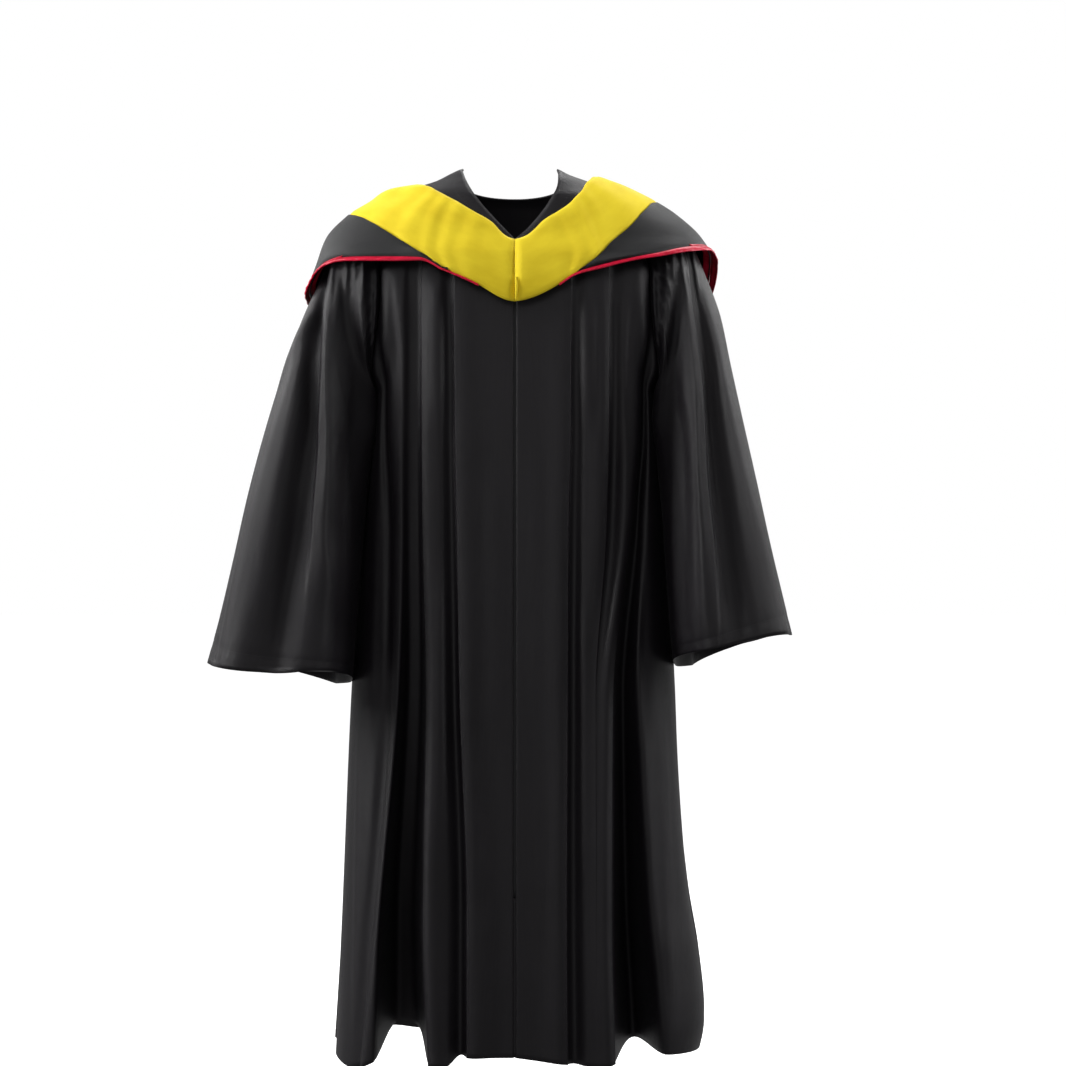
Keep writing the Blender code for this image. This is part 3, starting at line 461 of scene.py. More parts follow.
def cloth(name, points, fabric, *nodes, flip=False, closed=False):
    """A thin shell over a grid of points; its UV map runs along the cloth's own threads, in metres."""
    rows, columns = points.shape[:2]
    ends = np.concatenate((points, points[:, :1]), axis=1) if closed else points
    across = along(ends, 1)
    across -= across[:, across.shape[1] // 2][:, None]
    down = along(ends, 0)
    faces = []
    corners_uv = []
    for r in range(rows - 1):
        for c in range(ends.shape[1] - 1):
            after = (c + 1) % columns
            corners = [(r, c, c), (r, after, c + 1), (r + 1, after, c + 1), (r + 1, c, c)]
            if not flip:
                corners.reverse()
            faces.append([i * columns + j for i, j, _ in corners])
            corners_uv += [(across[i, k], down[i, k]) for i, _, k in corners]
    piece = mesh_piece(name, points.reshape(-1, 3).tolist(), faces, fabric.material)
    piece.data.uv_layers.new(name="grain").data.foreach_set("uv", np.array(corners_uv).ravel())
    piece.data.shade_smooth()
    solidify = piece.modifiers.new("cloth_wall", "SOLIDIFY")
    solidify.thickness = fabric.wall
    solidify.offset = -1.0
    join_as_piece(piece, fabric.slot, *nodes)


def normals(points):
    """Unit normals of a grid of points."""
    out = np.cross(np.gradient(points, axis=1), np.gradient(points, axis=0))
    return out / np.maximum(np.linalg.norm(out, axis=-1, keepdims=True), 1e-12)


# ---------------------------------------------------------------- stitches
STITCH_LENGTH = 0.0026
STITCH_PITCH = 0.0036
STITCH_RADIUS = 0.00022
STITCH_RISE = 0.0001


def stitches(name, points, centre, level):
    """Short threads along a line of a grid, at a fractional row and facing away from a centre."""
    r = min(int(level), len(points) - 2)
    share = level - r
    path = points[r] * (1 - share) + points[r + 1] * share
    outward = normals(points)[r]
    inward = (outward * (path - centre)).sum(axis=1, keepdims=True) < 0
    outward = np.where(inward, -outward, outward)
    path = path + outward * STITCH_RISE
    lengths = np.concatenate(([0.0], np.cumsum(np.linalg.norm(np.diff(path, axis=0), axis=1))))

    def read(values, place):
        return np.array([np.interp(place, lengths, values[:, axis]) for axis in range(3)])

    vertices = []
    faces = []
    for place in np.arange(STITCH_PITCH, lengths[-1] - STITCH_PITCH, STITCH_PITCH):
        start = read(path, place)
        end = read(path, place + STITCH_LENGTH)
        out = read(outward, place)
        sideways = np.cross((end - start) / np.linalg.norm(end - start), out)
        sideways *= STITCH_RADIUS / np.linalg.norm(sideways)
        raised = out * STITCH_RADIUS
        middle = (start + end) / 2
        first = len(vertices)
        vertices += [start, middle + sideways, middle + raised, middle - sideways, middle - raised, end]
        for turn in range(4):
            a, b = first + 1 + turn, first + 1 + (turn + 1) % 4
            faces += [(first, a, b), (first + 5, b, a)]
    join_as_piece(mesh_piece(name, [tuple(v) for v in vertices], faces, NYLON), "gown_cloth")


# ---------------------------------------------------------------- yoke
NECK = {
    -1: numbered("x z", (0.0, -0.113), (0.020, -0.092), (0.041, -0.069), (0.060, -0.044), (0.073, -0.020),
                 (0.080, 0.0)),
    1: numbered("x z", (0.0, -0.113), (0.014, -0.101), (0.029, -0.085), (0.048, -0.059), (0.062, -0.030),
                (0.065, 0.0)),
}
BACK_NECK_DROP = 0.035
YOKE_ROWS = 18
YOKE_COLUMNS = 60
YOKE_CROWDING = 1.3       # its rows lie closer towards the neck
NECK_ROLL = 0.0016        # the turned neck edge is this much rounder than the cloth behind it
NECK_ROLL_WIDTH = 0.05    # over this share of the yoke
YOKE_WAVE = 0.0006
YOKE_WAVES = 9.0
NECK_STITCH_ROW = 2.6
YOKE_CENTRE = (0.0, 0.0, -0.3)


def neck_front(side, share):
    neck = NECK[side]
    place = share * neck.keys[-1]
    z = float(neck.read("z", place))
    return GOWN.angle_at(side, 1, float(neck.read("x", place)), z), z


def neck_back(side, share):
    return side * (180.0 - 90.0 * share), -BACK_NECK_DROP * math.cos(math.radians(90.0 * share)) ** 2


def yoke_border(side, face, share):
    corner = armhole_angle(side, face, YOKE_Z)
    middle = 0.0 if face > 0 else side * 180.0
    if share <= YOKE_SEAM_SHARE:
        return middle + (corner - middle) * share / YOKE_SEAM_SHARE, YOKE_Z + 2 * SEAM_GAP
    z = float(armhole_level(YOKE_STEP * (1.0 - share) / (1.0 - YOKE_SEAM_SHARE)))
    return armhole_angle(side, face, z), z


def yoke_points(side, face):
    neck = neck_front if face > 0 else neck_back
    shares = np.linspace(0.0, 1.0, YOKE_COLUMNS + 1)
    inner = np.array([neck(side, share) for share in shares])
    outer = np.array([yoke_border(side, face, share) for share in shares])
    down = np.linspace(0.0, 1.0, YOKE_ROWS + 1)[:, None]
    both = inner + down[..., None] ** YOKE_CROWDING * (outer - inner)
    lift = -NECK_ROLL * bump(down, NECK_ROLL_WIDTH) + YOKE_WAVE * np.sin(YOKE_WAVES * shares) * down
    points = GOWN.point(both[..., 0], both[..., 1], lift)
    if face > 0:
        points[:, 0, 0] = side * SEAM_GAP / 2
    points[:, -1, 1] = -face * SEAM_GAP / 2
    return points


def make_yoke():
    for name, side in SIDES.items():
        points = yoke_points(side, 1)
        cloth(f"yoke_front_{name}_cloth", points, POLYESTER, f"yoke_front_{name}", flip=side < 0)
        stitches(f"neck_stitches_{name}", points, YOKE_CENTRE, NECK_STITCH_ROW)
    points = np.concatenate((yoke_points(-1, -1)[:, ::-1], yoke_points(1, -1)[:, 1:]), axis=1)
    cloth("yoke_back_cloth", points, POLYESTER, "yoke_back", flip=True)
    stitches("neck_stitches_back", points, YOKE_CENTRE, NECK_STITCH_ROW)


# ---------------------------------------------------------------- folds and creases of the panels
FOLD_LEVELS = (-0.160, -0.370, -0.535, -0.770, -1.070, -1.280)
AMPLITUDE_LEVELS = (-0.130, -0.500, -0.770, -1.280)
FOLD_COLUMNS = "x ridge valley width lean flatness"
# The inner, middle and outer fold: its distance from the centre line at FOLD_LEVELS, and its ridge,
# valley and width at AMPLITUDE_LEVELS
FOLDS = {
    -1: table(
        FOLD_COLUMNS,
        ((0.0866, 0.0848, 0.0817, 0.0774, 0.0673, 0.0673),
         (0.001, 0.004, 0.006, 0.007), (0.002, 0.006, 0.009, 0.012), (0.022, 0.024, 0.026, 0.030), 0.7, 1),
        ((0.1330, 0.1320, 0.1300, 0.1242, 0.1284, 0.1212),
         (0.0015, 0.006, 0.010, 0.012), (0.003, 0.012, 0.040, 0.140), (0.026, 0.030, 0.044, 0.084), 0.9, 3),
        ((0.1830, 0.1800, 0.1714, 0.1750, 0.1980, 0.2180),
         (0.001, 0.005, 0.004, 0.008), (0.002, 0.010, 0.006, 0.0), (0.014, 0.030, 0.030, 0.030), 0.7, 1),
    ),
    1: table(
        FOLD_COLUMNS,
        ((0.0808, 0.0793, 0.0762, 0.0747, 0.0733, 0.0747),
         (0.001, 0.004, 0.005, 0.006), (0.002, 0.006, 0.008, 0.010), (0.022, 0.024, 0.026, 0.030), 0.7, 1),
        ((0.1350, 0.1340, 0.1290, 0.1130, 0.1130, 0.1160),
         (0.0015, 0.006, 0.001, 0.0), (0.003, 0.009, 0.001, 0.0), (0.024, 0.026, 0.016, 0.014), 0.7, 1),
        ((0.1820, 0.1780, 0.1630, 0.1380, 0.1358, 0.1414),
         (0.001, 0.008, 0.010, 0.012), (0.003, 0.020, 0.045, 0.130), (0.014, 0.034, 0.048, 0.084), 0.7, 1),
    ),
}
RIDGE_WIDTH = 0.020
SIDE_CALM = 0.030
PLEAT_CREST = 0.011       # a pleat's crest lies this far inside its edge and rolls off towards it
PLEAT_FLANK = 0.014
PLEAT_GAIN = 1.15
EDGE_ROUND = 0.0020       # how sharply a pressed pleat drops on its outer side
UNDERLAP = 0.0018         # and how far the layer behind it lies
UNDERLAP_REACH = 0.024
FULL_RIDGE = 0.003        # from this height a ridge has its whole underlap

# A soft ridge, or a trough with a negative height, from its top to its lower end; x is the
# distance from the centre line
CREASE_COLUMNS = "x_top z_top x_low z_low height width"
CREASES_FRONT = {
    -1: table(
        CREASE_COLUMNS,
        (0.112, -0.150, 0.108, -0.420, 0.0030, 0.011),
        (0.098, -0.170, 0.094, -0.300, -0.0014, 0.006),
        (0.158, -0.160, 0.156, -0.560, 0.0034, 0.010),
        (0.172, -0.150, 0.166, -0.330, -0.0018, 0.005),
        (0.030, -0.420, 0.026, -0.900, 0.0012, 0.016),
        (0.054, -0.700, 0.048, -1.240, -0.0012, 0.010),
        (0.040, -1.050, 0.036, -1.300, 0.0016, 0.012),
        (0.100, -0.560, 0.104, -1.000, 0.0026, 0.013),
        (0.190, -0.420, 0.200, -0.900, -0.0040, 0.010),
        (0.222, -0.760, 0.228, -1.300, 0.0030, 0.012),
    ),
    1: table(
        CREASE_COLUMNS,
        (0.104, -0.150, 0.100, -0.400, 0.0026, 0.012),
        (0.120, -0.190, 0.116, -0.420, -0.0014, 0.006),
        (0.152, -0.150, 0.148, -0.520, 0.0030, 0.010),
        (0.166, -0.180, 0.156, -0.420, -0.0016, 0.005),
        (0.028, -0.380, 0.032, -0.840, 0.0012, 0.015),
        (0.050, -0.760, 0.046, -1.260, -0.0012, 0.010),
        (0.096, -0.600, 0.098, -1.080, 0.0024, 0.012),
        (0.184, -0.400, 0.186, -0.860, -0.0040, 0.010),
        (0.210, -0.760, 0.228, -1.300, 0.0030, 0.012),
    ),
}
CREASES_BACK = {
    -1: table(
        CREASE_COLUMNS,
        (0.020, -0.150, 0.024, -0.520, 0.0022, 0.010),
        (0.066, -0.150, 0.070, -0.460, -0.0020, 0.008),
        (0.110, -0.150, 0.118, -0.620, 0.0030, 0.010),
        (0.150, -0.170, 0.164, -0.700, -0.0030, 0.009),
        (0.050, -0.700, 0.058, -1.300, 0.0050, 0.012),
        (0.190, -0.700, 0.205, -1.300, -0.0050, 0.012),
    ),
    1: table(
        CREASE_COLUMNS,
        (0.034, -0.150, 0.030, -0.480, -0.0020, 0.009),
        (0.086, -0.150, 0.092, -0.580, 0.0028, 0.010),
        (0.136, -0.160, 0.144, -0.520, -0.0024, 0.008),
        (0.172, -0.200, 0.186, -0.760, 0.0030, 0.010),
        (0.080, -0.760, 0.092, -1.300, -0.0050, 0.013),
        (0.160, -0.820, 0.170, -1.300, 0.0050, 0.012),
    ),
}


def crease_lift(creases, section, run, z):
    """The creases' lift along one level."""
    lift = np.zeros_like(run)
    for crease in creases:
        share = (crease.z_top - z) / (crease.z_top - crease.z_low)
        fade = smoothstep(share * 5.0) * smoothstep((1.0 - share) * 3.0)
        middle = section.run_at_x(crease.x_top + share * (crease.x_low - crease.x_top))
        lift += crease.height * fade * bump(run - middle, crease.width)
    return lift


def fold_shape(folds, section, run, end, z):
    """The pleats' lift out of the cloth, and how far the cloth beside them sinks in."""
    lift = np.zeros_like(run)
    sink = np.zeros_like(run)
    for fold in folds:
        distance = run - section.run_at_x(by_level(FOLD_LEVELS, fold.x, z))
        ridge, valley, width = (by_level(AMPLITUDE_LEVELS, values, z)
                                for values in (fold.ridge, fold.valley, fold.width))
        crest = distance + PLEAT_CREST
        beyond = smoothstep(distance / EDGE_ROUND)
        roll = bump(crest, np.where(crest < 0, RIDGE_WIDTH, PLEAT_FLANK))
        lift += PLEAT_GAIN * ridge * roll * (1.0 - beyond)
        lift -= UNDERLAP * min(1.0, ridge / FULL_RIDGE) * beyond * smoothstep(1.0 - distance / UNDERLAP_REACH)
        wave = np.sin(math.pi * np.clip(distance / width, 0.0, 1.0) ** fold.lean) ** 2
        sink += valley * (1.0 - (1.0 - wave) ** fold.flatness)
    calm = smoothstep((end - run) / SIDE_CALM)
    return lift * calm, sink * calm


# ---------------------------------------------------------------- fronts and back
PANEL_ROWS = 150
FRONT_COLUMNS = (46, 40, 42, 58)          # between the centre, the three pleats and the side
COLUMN_CROWD = 0.135
BACK_COLUMNS = 130        # from the centre to a side seam
HEM = {
    -1: Curves("x z", (0.0, -1.277), (0.072, -1.277), (0.100, -1.290), (0.190, -1.287),
               (0.237, -1.302), (0.266, -1.292)),
    1: Curves("x z", (0.0, -1.277), (0.070, -1.286), (0.125, -1.291), (0.150, -1.284),
              (0.184, -1.277), (0.226, -1.281), (0.275, -1.284)),
}
VALLEY_RISE = {-1: 0.26, 1: 0.05}
CALM_FALL = 0.32
CORNER_PUFF = 0.014       # the front stands so far forward beside the armhole
CORNER_MIDDLE = 0.012
CORNER_WIDTH = 0.026
CORNER_SEAM = 0.75        # at the seam itself only this share of it is left
CORNER_FADE = 0.009       # and within this distance it is whole again
CORNER_TOP = 0.03         # it starts within these heights, below the yoke and above the underarm
CORNER_LOW = 0.035
CENTRE_ROLL = 0.0040      # the two front edges turn in at the closure
CENTRE_ROLL_WIDTH = 0.0020
SEAM_DIP = 0.0006
SEAM_DIP_WIDTH = 0.0035
HEM_ALLOWANCE = 0.058     # the turned-up hem, which shows as a faint line
HEM_LINE = 0.0007
HEM_LINE_WIDTH = 0.0022
BACK_WAVES = 4.0
BACK_AMPLITUDES = (0.0012, 0.007, 0.011, 0.020)
BACK_CALM = 0.060
BACK_SKEW = 0.35          # the flutes lean
Ripple = namedtuple("Ripple", "size rate start")
# They also differ in width and in height, so no two look alike
BACK_SHIFTS = (Ripple(0.012, 5.0, 0.0), Ripple(0.008, 17.0, 0.0))
BACK_SWELL = Ripple(0.25, 9.0, 1.3)


def ripple(wave, share):
    return wave.size * np.sin(wave.rate * share + wave.start)


def hem_share(z):
    return smoothstep((UNDERARM_Z - z) / (UNDERARM_Z - HEM_Z))


def hem_shift(side, x, z):
    """The hem's own line along the cloth; the rows above share its dips and rises."""
    return (HEM[side].read("z", np.abs(x)) - HEM_Z) * hem_share(z)


def spaced(marks, counts):
    """Places from mark to mark, so many between each two and crowded towards both."""
    places = [[marks[0]]]
    for start, stop, count in zip(marks[:-1], marks[1:], counts):
        share = np.linspace(0.0, 1.0, count + 1)[1:]
        places.append(start + (stop - start) * (share - COLUMN_CROWD * np.sin(2 * math.pi * share)))
    return np.concatenate(places)


def panel_sections(side, face):
    """Each row's height, its section and the run of the section's end at the armhole or side seam."""
    for z in np.linspace(YOKE_Z, HEM_Z, PANEL_ROWS + 1):
        section = Section(side, face, z)
        yield z, section, section.run_at_x(section.x_at_depth(armhole_depth(z) if z > UNDERARM_Z else 0.0))


def calm_end(section, end, z):
    """Where the folds have died out: at the armhole's side, and lower down at the side seam."""
    beside = section.run_at_x(section.x_at_depth(ARMHOLE_HALF_DEPTH))
    return min(end, beside + (section.runs[-1] - beside) * smoothstep((ARMHOLE_Z - z) / CALM_FALL))


def seam_lift(distance, z):
    """The dip at a side seam, and the stitched top of the turned-up hem."""
    hem = HEM_LINE * bump(z - HEM_Z - HEM_ALLOWANCE, HEM_LINE_WIDTH)
    return -SEAM_DIP * bump(distance, SEAM_DIP_WIDTH) - hem


def corner_puff(distance, z):
    """The front's fullness beside the armhole, by the distance from it."""
    beside = smoothstep((YOKE_Z - z) / CORNER_TOP) * smoothstep((z - UNDERARM_Z) / CORNER_LOW)
    rise = CORNER_SEAM + (1.0 - CORNER_SEAM) * smoothstep(distance / CORNER_FADE)
    return CORNER_PUFF * beside * rise * bump(distance - CORNER_MIDDLE, CORNER_WIDTH)


def front_points(side):
    folds = FOLDS[side]
    grid = []
    for z, section, end in panel_sections(side, 1):
        edges = [section.run_at_x(by_level(FOLD_LEVELS, fold.x, z)) + EDGE_ROUND for fold in folds]
        run = spaced([0.0] + edges + [end], FRONT_COLUMNS)
        calm = calm_end(section, end, z)
        lift, sink = fold_shape(folds, section, run, calm, z)
        lift += crease_lift(CREASES_FRONT[side], section, run, z) * smoothstep((calm - run) / SIDE_CALM)
        lift += corner_puff(end - run, z) + seam_lift(end - run, z)
        lift -= CENTRE_ROLL * bump(run, CENTRE_ROLL_WIDTH)
        x, y = section.place(run, lift)
        x[0] = side * SEAM_GAP / 2
        rise = VALLEY_RISE[side] * hem_share(z) * sink
        grid.append(np.stack((x, np.minimum(y + sink, 0.0), z + hem_shift(side, x, z) + rise), axis=-1))
    return np.array(grid)


def flutes(share, z):
    turn = 2 * math.pi * BACK_WAVES * (share + sum(ripple(shift, share) for shift in BACK_SHIFTS))
    height = by_level(AMPLITUDE_LEVELS, BACK_AMPLITUDES, z) * (1.0 + ripple(BACK_SWELL, share))
    return height * np.cos(turn + BACK_SKEW * np.sin(turn))


def back_points(side):
    grid = []
    for z, section, end in panel_sections(side, -1):
        run = np.linspace(0.0, end, BACK_COLUMNS + 1)
        lift = flutes(side * run / end, z) + crease_lift(CREASES_BACK[side], section, run, z)
        lift = lift * smoothstep((end - run) / BACK_CALM) + seam_lift(end - run, z)
        x, y = section.place(run, lift)
        grid.append(np.stack((x, np.maximum(y, 0.0), z + hem_shift(side, x, z)), axis=-1))
    return np.array(grid)


def make_body():
    for name, side in SIDES.items():
        cloth(f"front_{name}_cloth", front_points(side), POLYESTER, f"front_{name}", flip=side < 0)
    points = np.concatenate((back_points(-1)[:, ::-1], back_points(1)[:, 1:]), axis=1)
    cloth("back_cloth", points, POLYESTER, "back", flip=True)


# ---------------------------------------------------------------- zip
ZIP_HALF_WIDTH = 0.013
ZIP_TOP_Z = -0.150
ZIP_LENGTH = 0.900
ZIP_ROWS = 91
FACING_ROWS = 30
STRIP_COLUMNS = 15
FACING_GAP = 0.002        # between the zip's end and the facing below it
FACING_RISE = 0.004       # the facing ends this far above the hem
SLIDER_DROP = 0.012       # the closed slider lies this far below the tape's top
TOOTH_PITCH = 0.0020
TOOTH = (0.0030, 0.0012, 0.0010)          # a coil loop's width, depth and height
TOOTH_SIDES = 8
TOOTH_SHIFT = 0.0007      # a loop's middle lies so far to its own side
COIL_END = 0.02           # the coil is this much shorter than the tape
SLIDER = (0.0080, 0.0042, 0.0110)
SLIDER_BEVEL = 0.0009
PULL = (0.0050, 0.0010, 0.0240)
PULL_BEVEL = 0.0004


def zip_point(x, z, inward=0.0):
    """A point of the zip, this far inside the tape's outer face."""
    return np.array((x, -float(GOWN.half_depth(1, z)) + (CLOTH + 2 * SEAM_GAP + inward), z))


def zip_strip(heights):
    across = np.linspace(-ZIP_HALF_WIDTH, ZIP_HALF_WIDTH, STRIP_COLUMNS)
    return np.array([[zip_point(x, z) for x in across] for z in heights])


def zip_box(name, size, z, inward, bevel):
    bpy.ops.mesh.primitive_cube_add(size=1.0, location=zip_point(0.0, z, inward))
    piece = bpy.context.object
    piece.name = name
    piece.scale = size
    bpy.ops.object.transform_apply(location=False, rotation=False, scale=True)
    rounding = piece.modifiers.new("edges", "BEVEL")
    rounding.width = bevel
    rounding.segments = 3
    piece.data.materials.append(NYLON)
    piece.data.shade_smooth()
    join_as_piece(piece, "zip_tape")


def make_coil():
    """The coil's loops: short bars across the middle, from the two sides by turns."""
    width, depth, height = TOOTH
    vertices = []
    faces = []
    for k in range(int((ZIP_LENGTH - COIL_END) / TOOTH_PITCH)):
        for side in (-1, 1):
            z = ZIP_TOP_Z - SLIDER_DROP - (k + (side > 0) / 2) * TOOTH_PITCH
            middle = zip_point(side * TOOTH_SHIFT, z, ZIP_TAPE + depth / 2)
            ring = [len(vertices) + 2 * step for step in range(TOOTH_SIDES)]
            for step in range(TOOTH_SIDES):
                turn = 2 * math.pi * step / TOOTH_SIDES
                rim = (depth / 2 * math.cos(turn), height / 2 * math.sin(turn))
                vertices += [tuple(middle + (end * width / 2, *rim)) for end in (-1, 1)]
            faces += [(a, b, b + 1, a + 1) for a, b in zip(ring, ring[1:] + ring[:1])]
            faces += [tuple(ring[::-1]), tuple(i + 1 for i in ring)]
    join_as_piece(mesh_piece("zip_coil", vertices, faces, NYLON), "zip_tape")


def make_zip():
    end_z = ZIP_TOP_Z - ZIP_LENGTH
    cloth("front_zip_tape", zip_strip(np.linspace(ZIP_TOP_Z, end_z, ZIP_ROWS)), TAPE, "front_zip")
    facing = np.linspace(end_z - FACING_GAP, HEM_Z + FACING_RISE, FACING_ROWS)
    cloth("front_facing", zip_strip(facing), POLYESTER)
    make_coil()
    slider_z = ZIP_TOP_Z - SLIDER_DROP
    zip_box("zip_slider", SLIDER, slider_z, ZIP_TAPE + SLIDER[1] / 2, SLIDER_BEVEL)
    zip_box("zip_pull", PULL, slider_z - PULL[2] / 2, ZIP_TAPE + SLIDER[1] + PULL[1], PULL_BEVEL)


# ---------------------------------------------------------------- sleeves
# Rings from the armhole to the cuff; angle 0 is the outer point, 90 the front and 180 the body's side
RING_COLUMNS = "outer_x outer_z inner_x inner_z half_depth forward tuck"
RINGS = {
    -1: numbered(
        RING_COLUMNS,
        (0.200, -0.060, 0.2040, -0.340, 0.085, 0.0, 0.0),
        (0.218, -0.066, 0.2110, -0.349, 0.094, 0.0, 0.0),
        (0.244, -0.084, 0.2122, -0.372, 0.099, 0.0, 0.003),
        (0.266, -0.118, 0.2160, -0.408, 0.106, 0.003, 0.007),
        (0.285, -0.168, 0.2220, -0.453, 0.115, 0.008, 0.010),
        (0.313, -0.230, 0.2280, -0.500, 0.125, 0.014, 0.013),
        (0.338, -0.300, 0.2320, -0.550, 0.134, 0.020, 0.014),
        (0.364, -0.385, 0.2355, -0.600, 0.140, 0.025, 0.014),
        (0.389, -0.480, 0.2385, -0.645, 0.145, 0.029, 0.014),
        (0.410, -0.575, 0.2395, -0.685, 0.149, 0.032, 0.013),
        (0.430, -0.660, 0.2400, -0.720, 0.152, 0.034, 0.012),
        (0.447, -0.722, 0.2410, -0.752, 0.155, 0.035, 0.010),
    ),
    1: numbered(
        RING_COLUMNS,
        (0.200, -0.060, 0.2040, -0.340, 0.085, 0.0, 0.0),
        (0.218, -0.066, 0.2110, -0.349, 0.094, 0.0, 0.0),
        (0.242, -0.084, 0.2122, -0.372, 0.099, 0.0, 0.003),
        (0.260, -0.116, 0.2142, -0.405, 0.106, 0.003, 0.007),
        (0.278, -0.162, 0.2182, -0.445, 0.115, 0.008, 0.010),
        (0.299, -0.220, 0.2235, -0.487, 0.125, 0.014, 0.013),
        (0.314, -0.290, 0.2275, -0.532, 0.133, 0.020, 0.014),
        (0.3315, -0.370, 0.2295, -0.577, 0.138, 0.025, 0.014),
        (0.3515, -0.460, 0.2320, -0.620, 0.143, 0.029, 0.014),
        (0.371, -0.550, 0.2335, -0.660, 0.147, 0.032, 0.013),
        (0.3885, -0.625, 0.2345, -0.697, 0.150, 0.034, 0.012),
        (0.4025, -0.684, 0.2355, -0.728, 0.153, 0.035, 0.010),
    ),
}
LAST_RING = RINGS[1].keys[-1]
RING_SQUARENESS = 2.3
SQUARE_RING = 3.0         # from this ring on, the section is that square
TUCK = (150, 25)          # middle and width of the hollow beside the body, in degrees
CUFF_RINGS = 2            # over so many last rings the cuff's rises grow
# How far the cuff rises, or drops, at an angle and within a width
CuffRise = namedtuple("CuffRise", "height angle width")
CUFF_RISES = {
    -1: (CuffRise(0.016, 130, 38), CuffRise(-0.012, -130, 38)),
    1: (CuffRise(0.016, 130, 38), CuffRise(-0.012, -130, 38), CuffRise(0.014, 70, 42)),
}
SLEEVE_FOLD_RINGS = (0, 3, 6, 9, 11)
SLEEVE_FOLDS = {
    -1: table(
        "angle height width",
        ((20, 61, 111, 124, 129), (0.0, 0.004, 0.010, 0.011, 0.009), 18),
        ((6, 20, 79, 88, 86), (0.0, -0.005, -0.015, -0.014, -0.011), 16),
        ((-8, 4, 42, 44, 56), (0.0, 0.002, 0.008, 0.010, 0.009), 16),
        ((-20, -44, -84, -112, -120), (0.0, 0.004, 0.012, 0.012, 0.010), 18),
        ((-44, -70, -112, -138, -146), (0.0, -0.006, -0.012, -0.010, -0.008), 16),
    ),
    1: table(
        "angle height width",
        ((24, 80, 103, 112, 116), (0.0, 0.004, 0.010, 0.011, 0.010), 17),
        ((10, 46, 78, 88, 92), (0.0, -0.005, -0.014, -0.013, -0.010), 14),
        ((-4, 8, 36, 44, 51), (0.0, 0.002, 0.008, 0.010, 0.010), 15),
        ((-18, -40, -78, -106, -112), (0.0, 0.004, 0.012, 0.012, 0.012), 18),
        ((-42, -68, -108, -132, -140), (0.0, -0.006, -0.012, -0.012, -0.010), 16),
    ),
}
# A soft fold, from ring t_top to ring t_low
SLEEVE_CREASE_COLUMNS = "angle_top t_top angle_low t_low height width"
SLEEVE_CREASES = {
    -1: table(
        SLEEVE_CREASE_COLUMNS,
        (44, 3.8, 20, 6.6, 0.0060, 7),
        (120, 6.4, 126, 11.0, 0.0110, 12),
        (90, 6.8, 96, 11.0, -0.0060, 10),
        (112, 2.6, 134, 8.0, -0.0030, 8),
        (26, 7.0, 34, 11.0, -0.0030, 9),
        (-30, 0.8, -60, 5.0, 0.0045, 7),
        (-60, 0.5, -92, 7.0, 0.0045, 7),
        (-75, 0.6, -104, 5.0, -0.0040, 6),
        (-15, 4.0, -36, 10.0, 0.0045, 9),
        (-60, 6.5, -70, 11.0, -0.0045, 9),
    ),
    1: table(
        SLEEVE_CREASE_COLUMNS,
        (106, 2.4, 124, 8.0, -0.0030, 8),
        (30, 4.0, 44, 9.0, -0.0030, 9),
        (-28, 0.8, -56, 5.0, 0.0045, 7),
        (-56, 0.5, -88, 7.0, 0.0045, 7),
        (-72, 0.6, -100, 5.0, -0.0040, 6),
        (-14, 4.0, -32, 10.0, 0.0045, 9),
        (-56, 6.5, -64, 11.0, -0.0045, 9),
    ),
}
# The main fold's front layer ends in an edge that faces outwards and stands over the layer behind
FOLD_EDGES = {
    -1: Curves("ring angle height", (1.8, 4, 0.0), (3.5, 32, 0.0050), (4.1, 50, 0.0075), (4.9, 78, 0.0090),
               (5.7, 89, 0.0090), (6.7, 96, 0.0080), (7.8, 102, 0.0050), (9.0, 104, 0.0004),
               (11.0, 108, 0.0)),
    1: Curves("ring angle height", (1.4, 26, 0.0), (2.7, 45, 0.0040), (3.2, 59, 0.0065), (4.0, 69, 0.0080),
              (5.0, 80, 0.0085), (6.4, 90, 0.0085), (8.0, 95, 0.0080), (8.8, 98, 0.0065),
              (11.0, 106, 0.0030)),
}
FOLD_EDGE_TURN = 2.2      # degrees in which the edge drops
FOLD_EDGE_CREST = 15      # the layer above still rises for so many degrees
FOLD_EDGE_LAYER = 24      # and then thins out
FOLD_EDGE_LOW = 0.6       # its height at the edge and at its crest, by the edge's height
FOLD_EDGE_HIGH = 1.4
FOLD_EDGE_UNDER = {-1: 1.2, 1: 0.5}       # how deep the layer behind lies
FOLD_EDGE_HOLLOW = 15
# A gather of the sleeve head in front hangs straight down from under the hood
HEAD_GATHERS = {
    -1: table(
        CREASE_COLUMNS,
        (0.262, -0.110, 0.266, -0.215, 0.0045, 0.0042),
        (0.242, -0.100, 0.242, -0.215, 0.0050, 0.0042),
        (0.230, -0.110, 0.232, -0.190, 0.0030, 0.0035),
        (0.217, -0.100, 0.217, -0.205, 0.0045, 0.0036),
        (0.206, -0.110, 0.206, -0.330, 0.0035, 0.0032),
        (0.252, -0.150, 0.258, -0.300, 0.0025, 0.0060),
    ),
    1: table(
        CREASE_COLUMNS,
        (0.236, -0.100, 0.248, -0.225, 0.0045, 0.0036),
        (0.245, -0.100, 0.259, -0.240, 0.0045, 0.0036),
        (0.253, -0.100, 0.268, -0.215, 0.0040, 0.0036),
        (0.224, -0.110, 0.230, -0.180, 0.0035, 0.0034),
        (0.213, -0.110, 0.219, -0.175, 0.0035, 0.0030),
        (0.204, -0.110, 0.210, -0.330, 0.0030, 0.0034),
    ),
}
HEAD_GATHER_FRONT = 0.03  # they fade towards the sleeve's outer line, within this depth
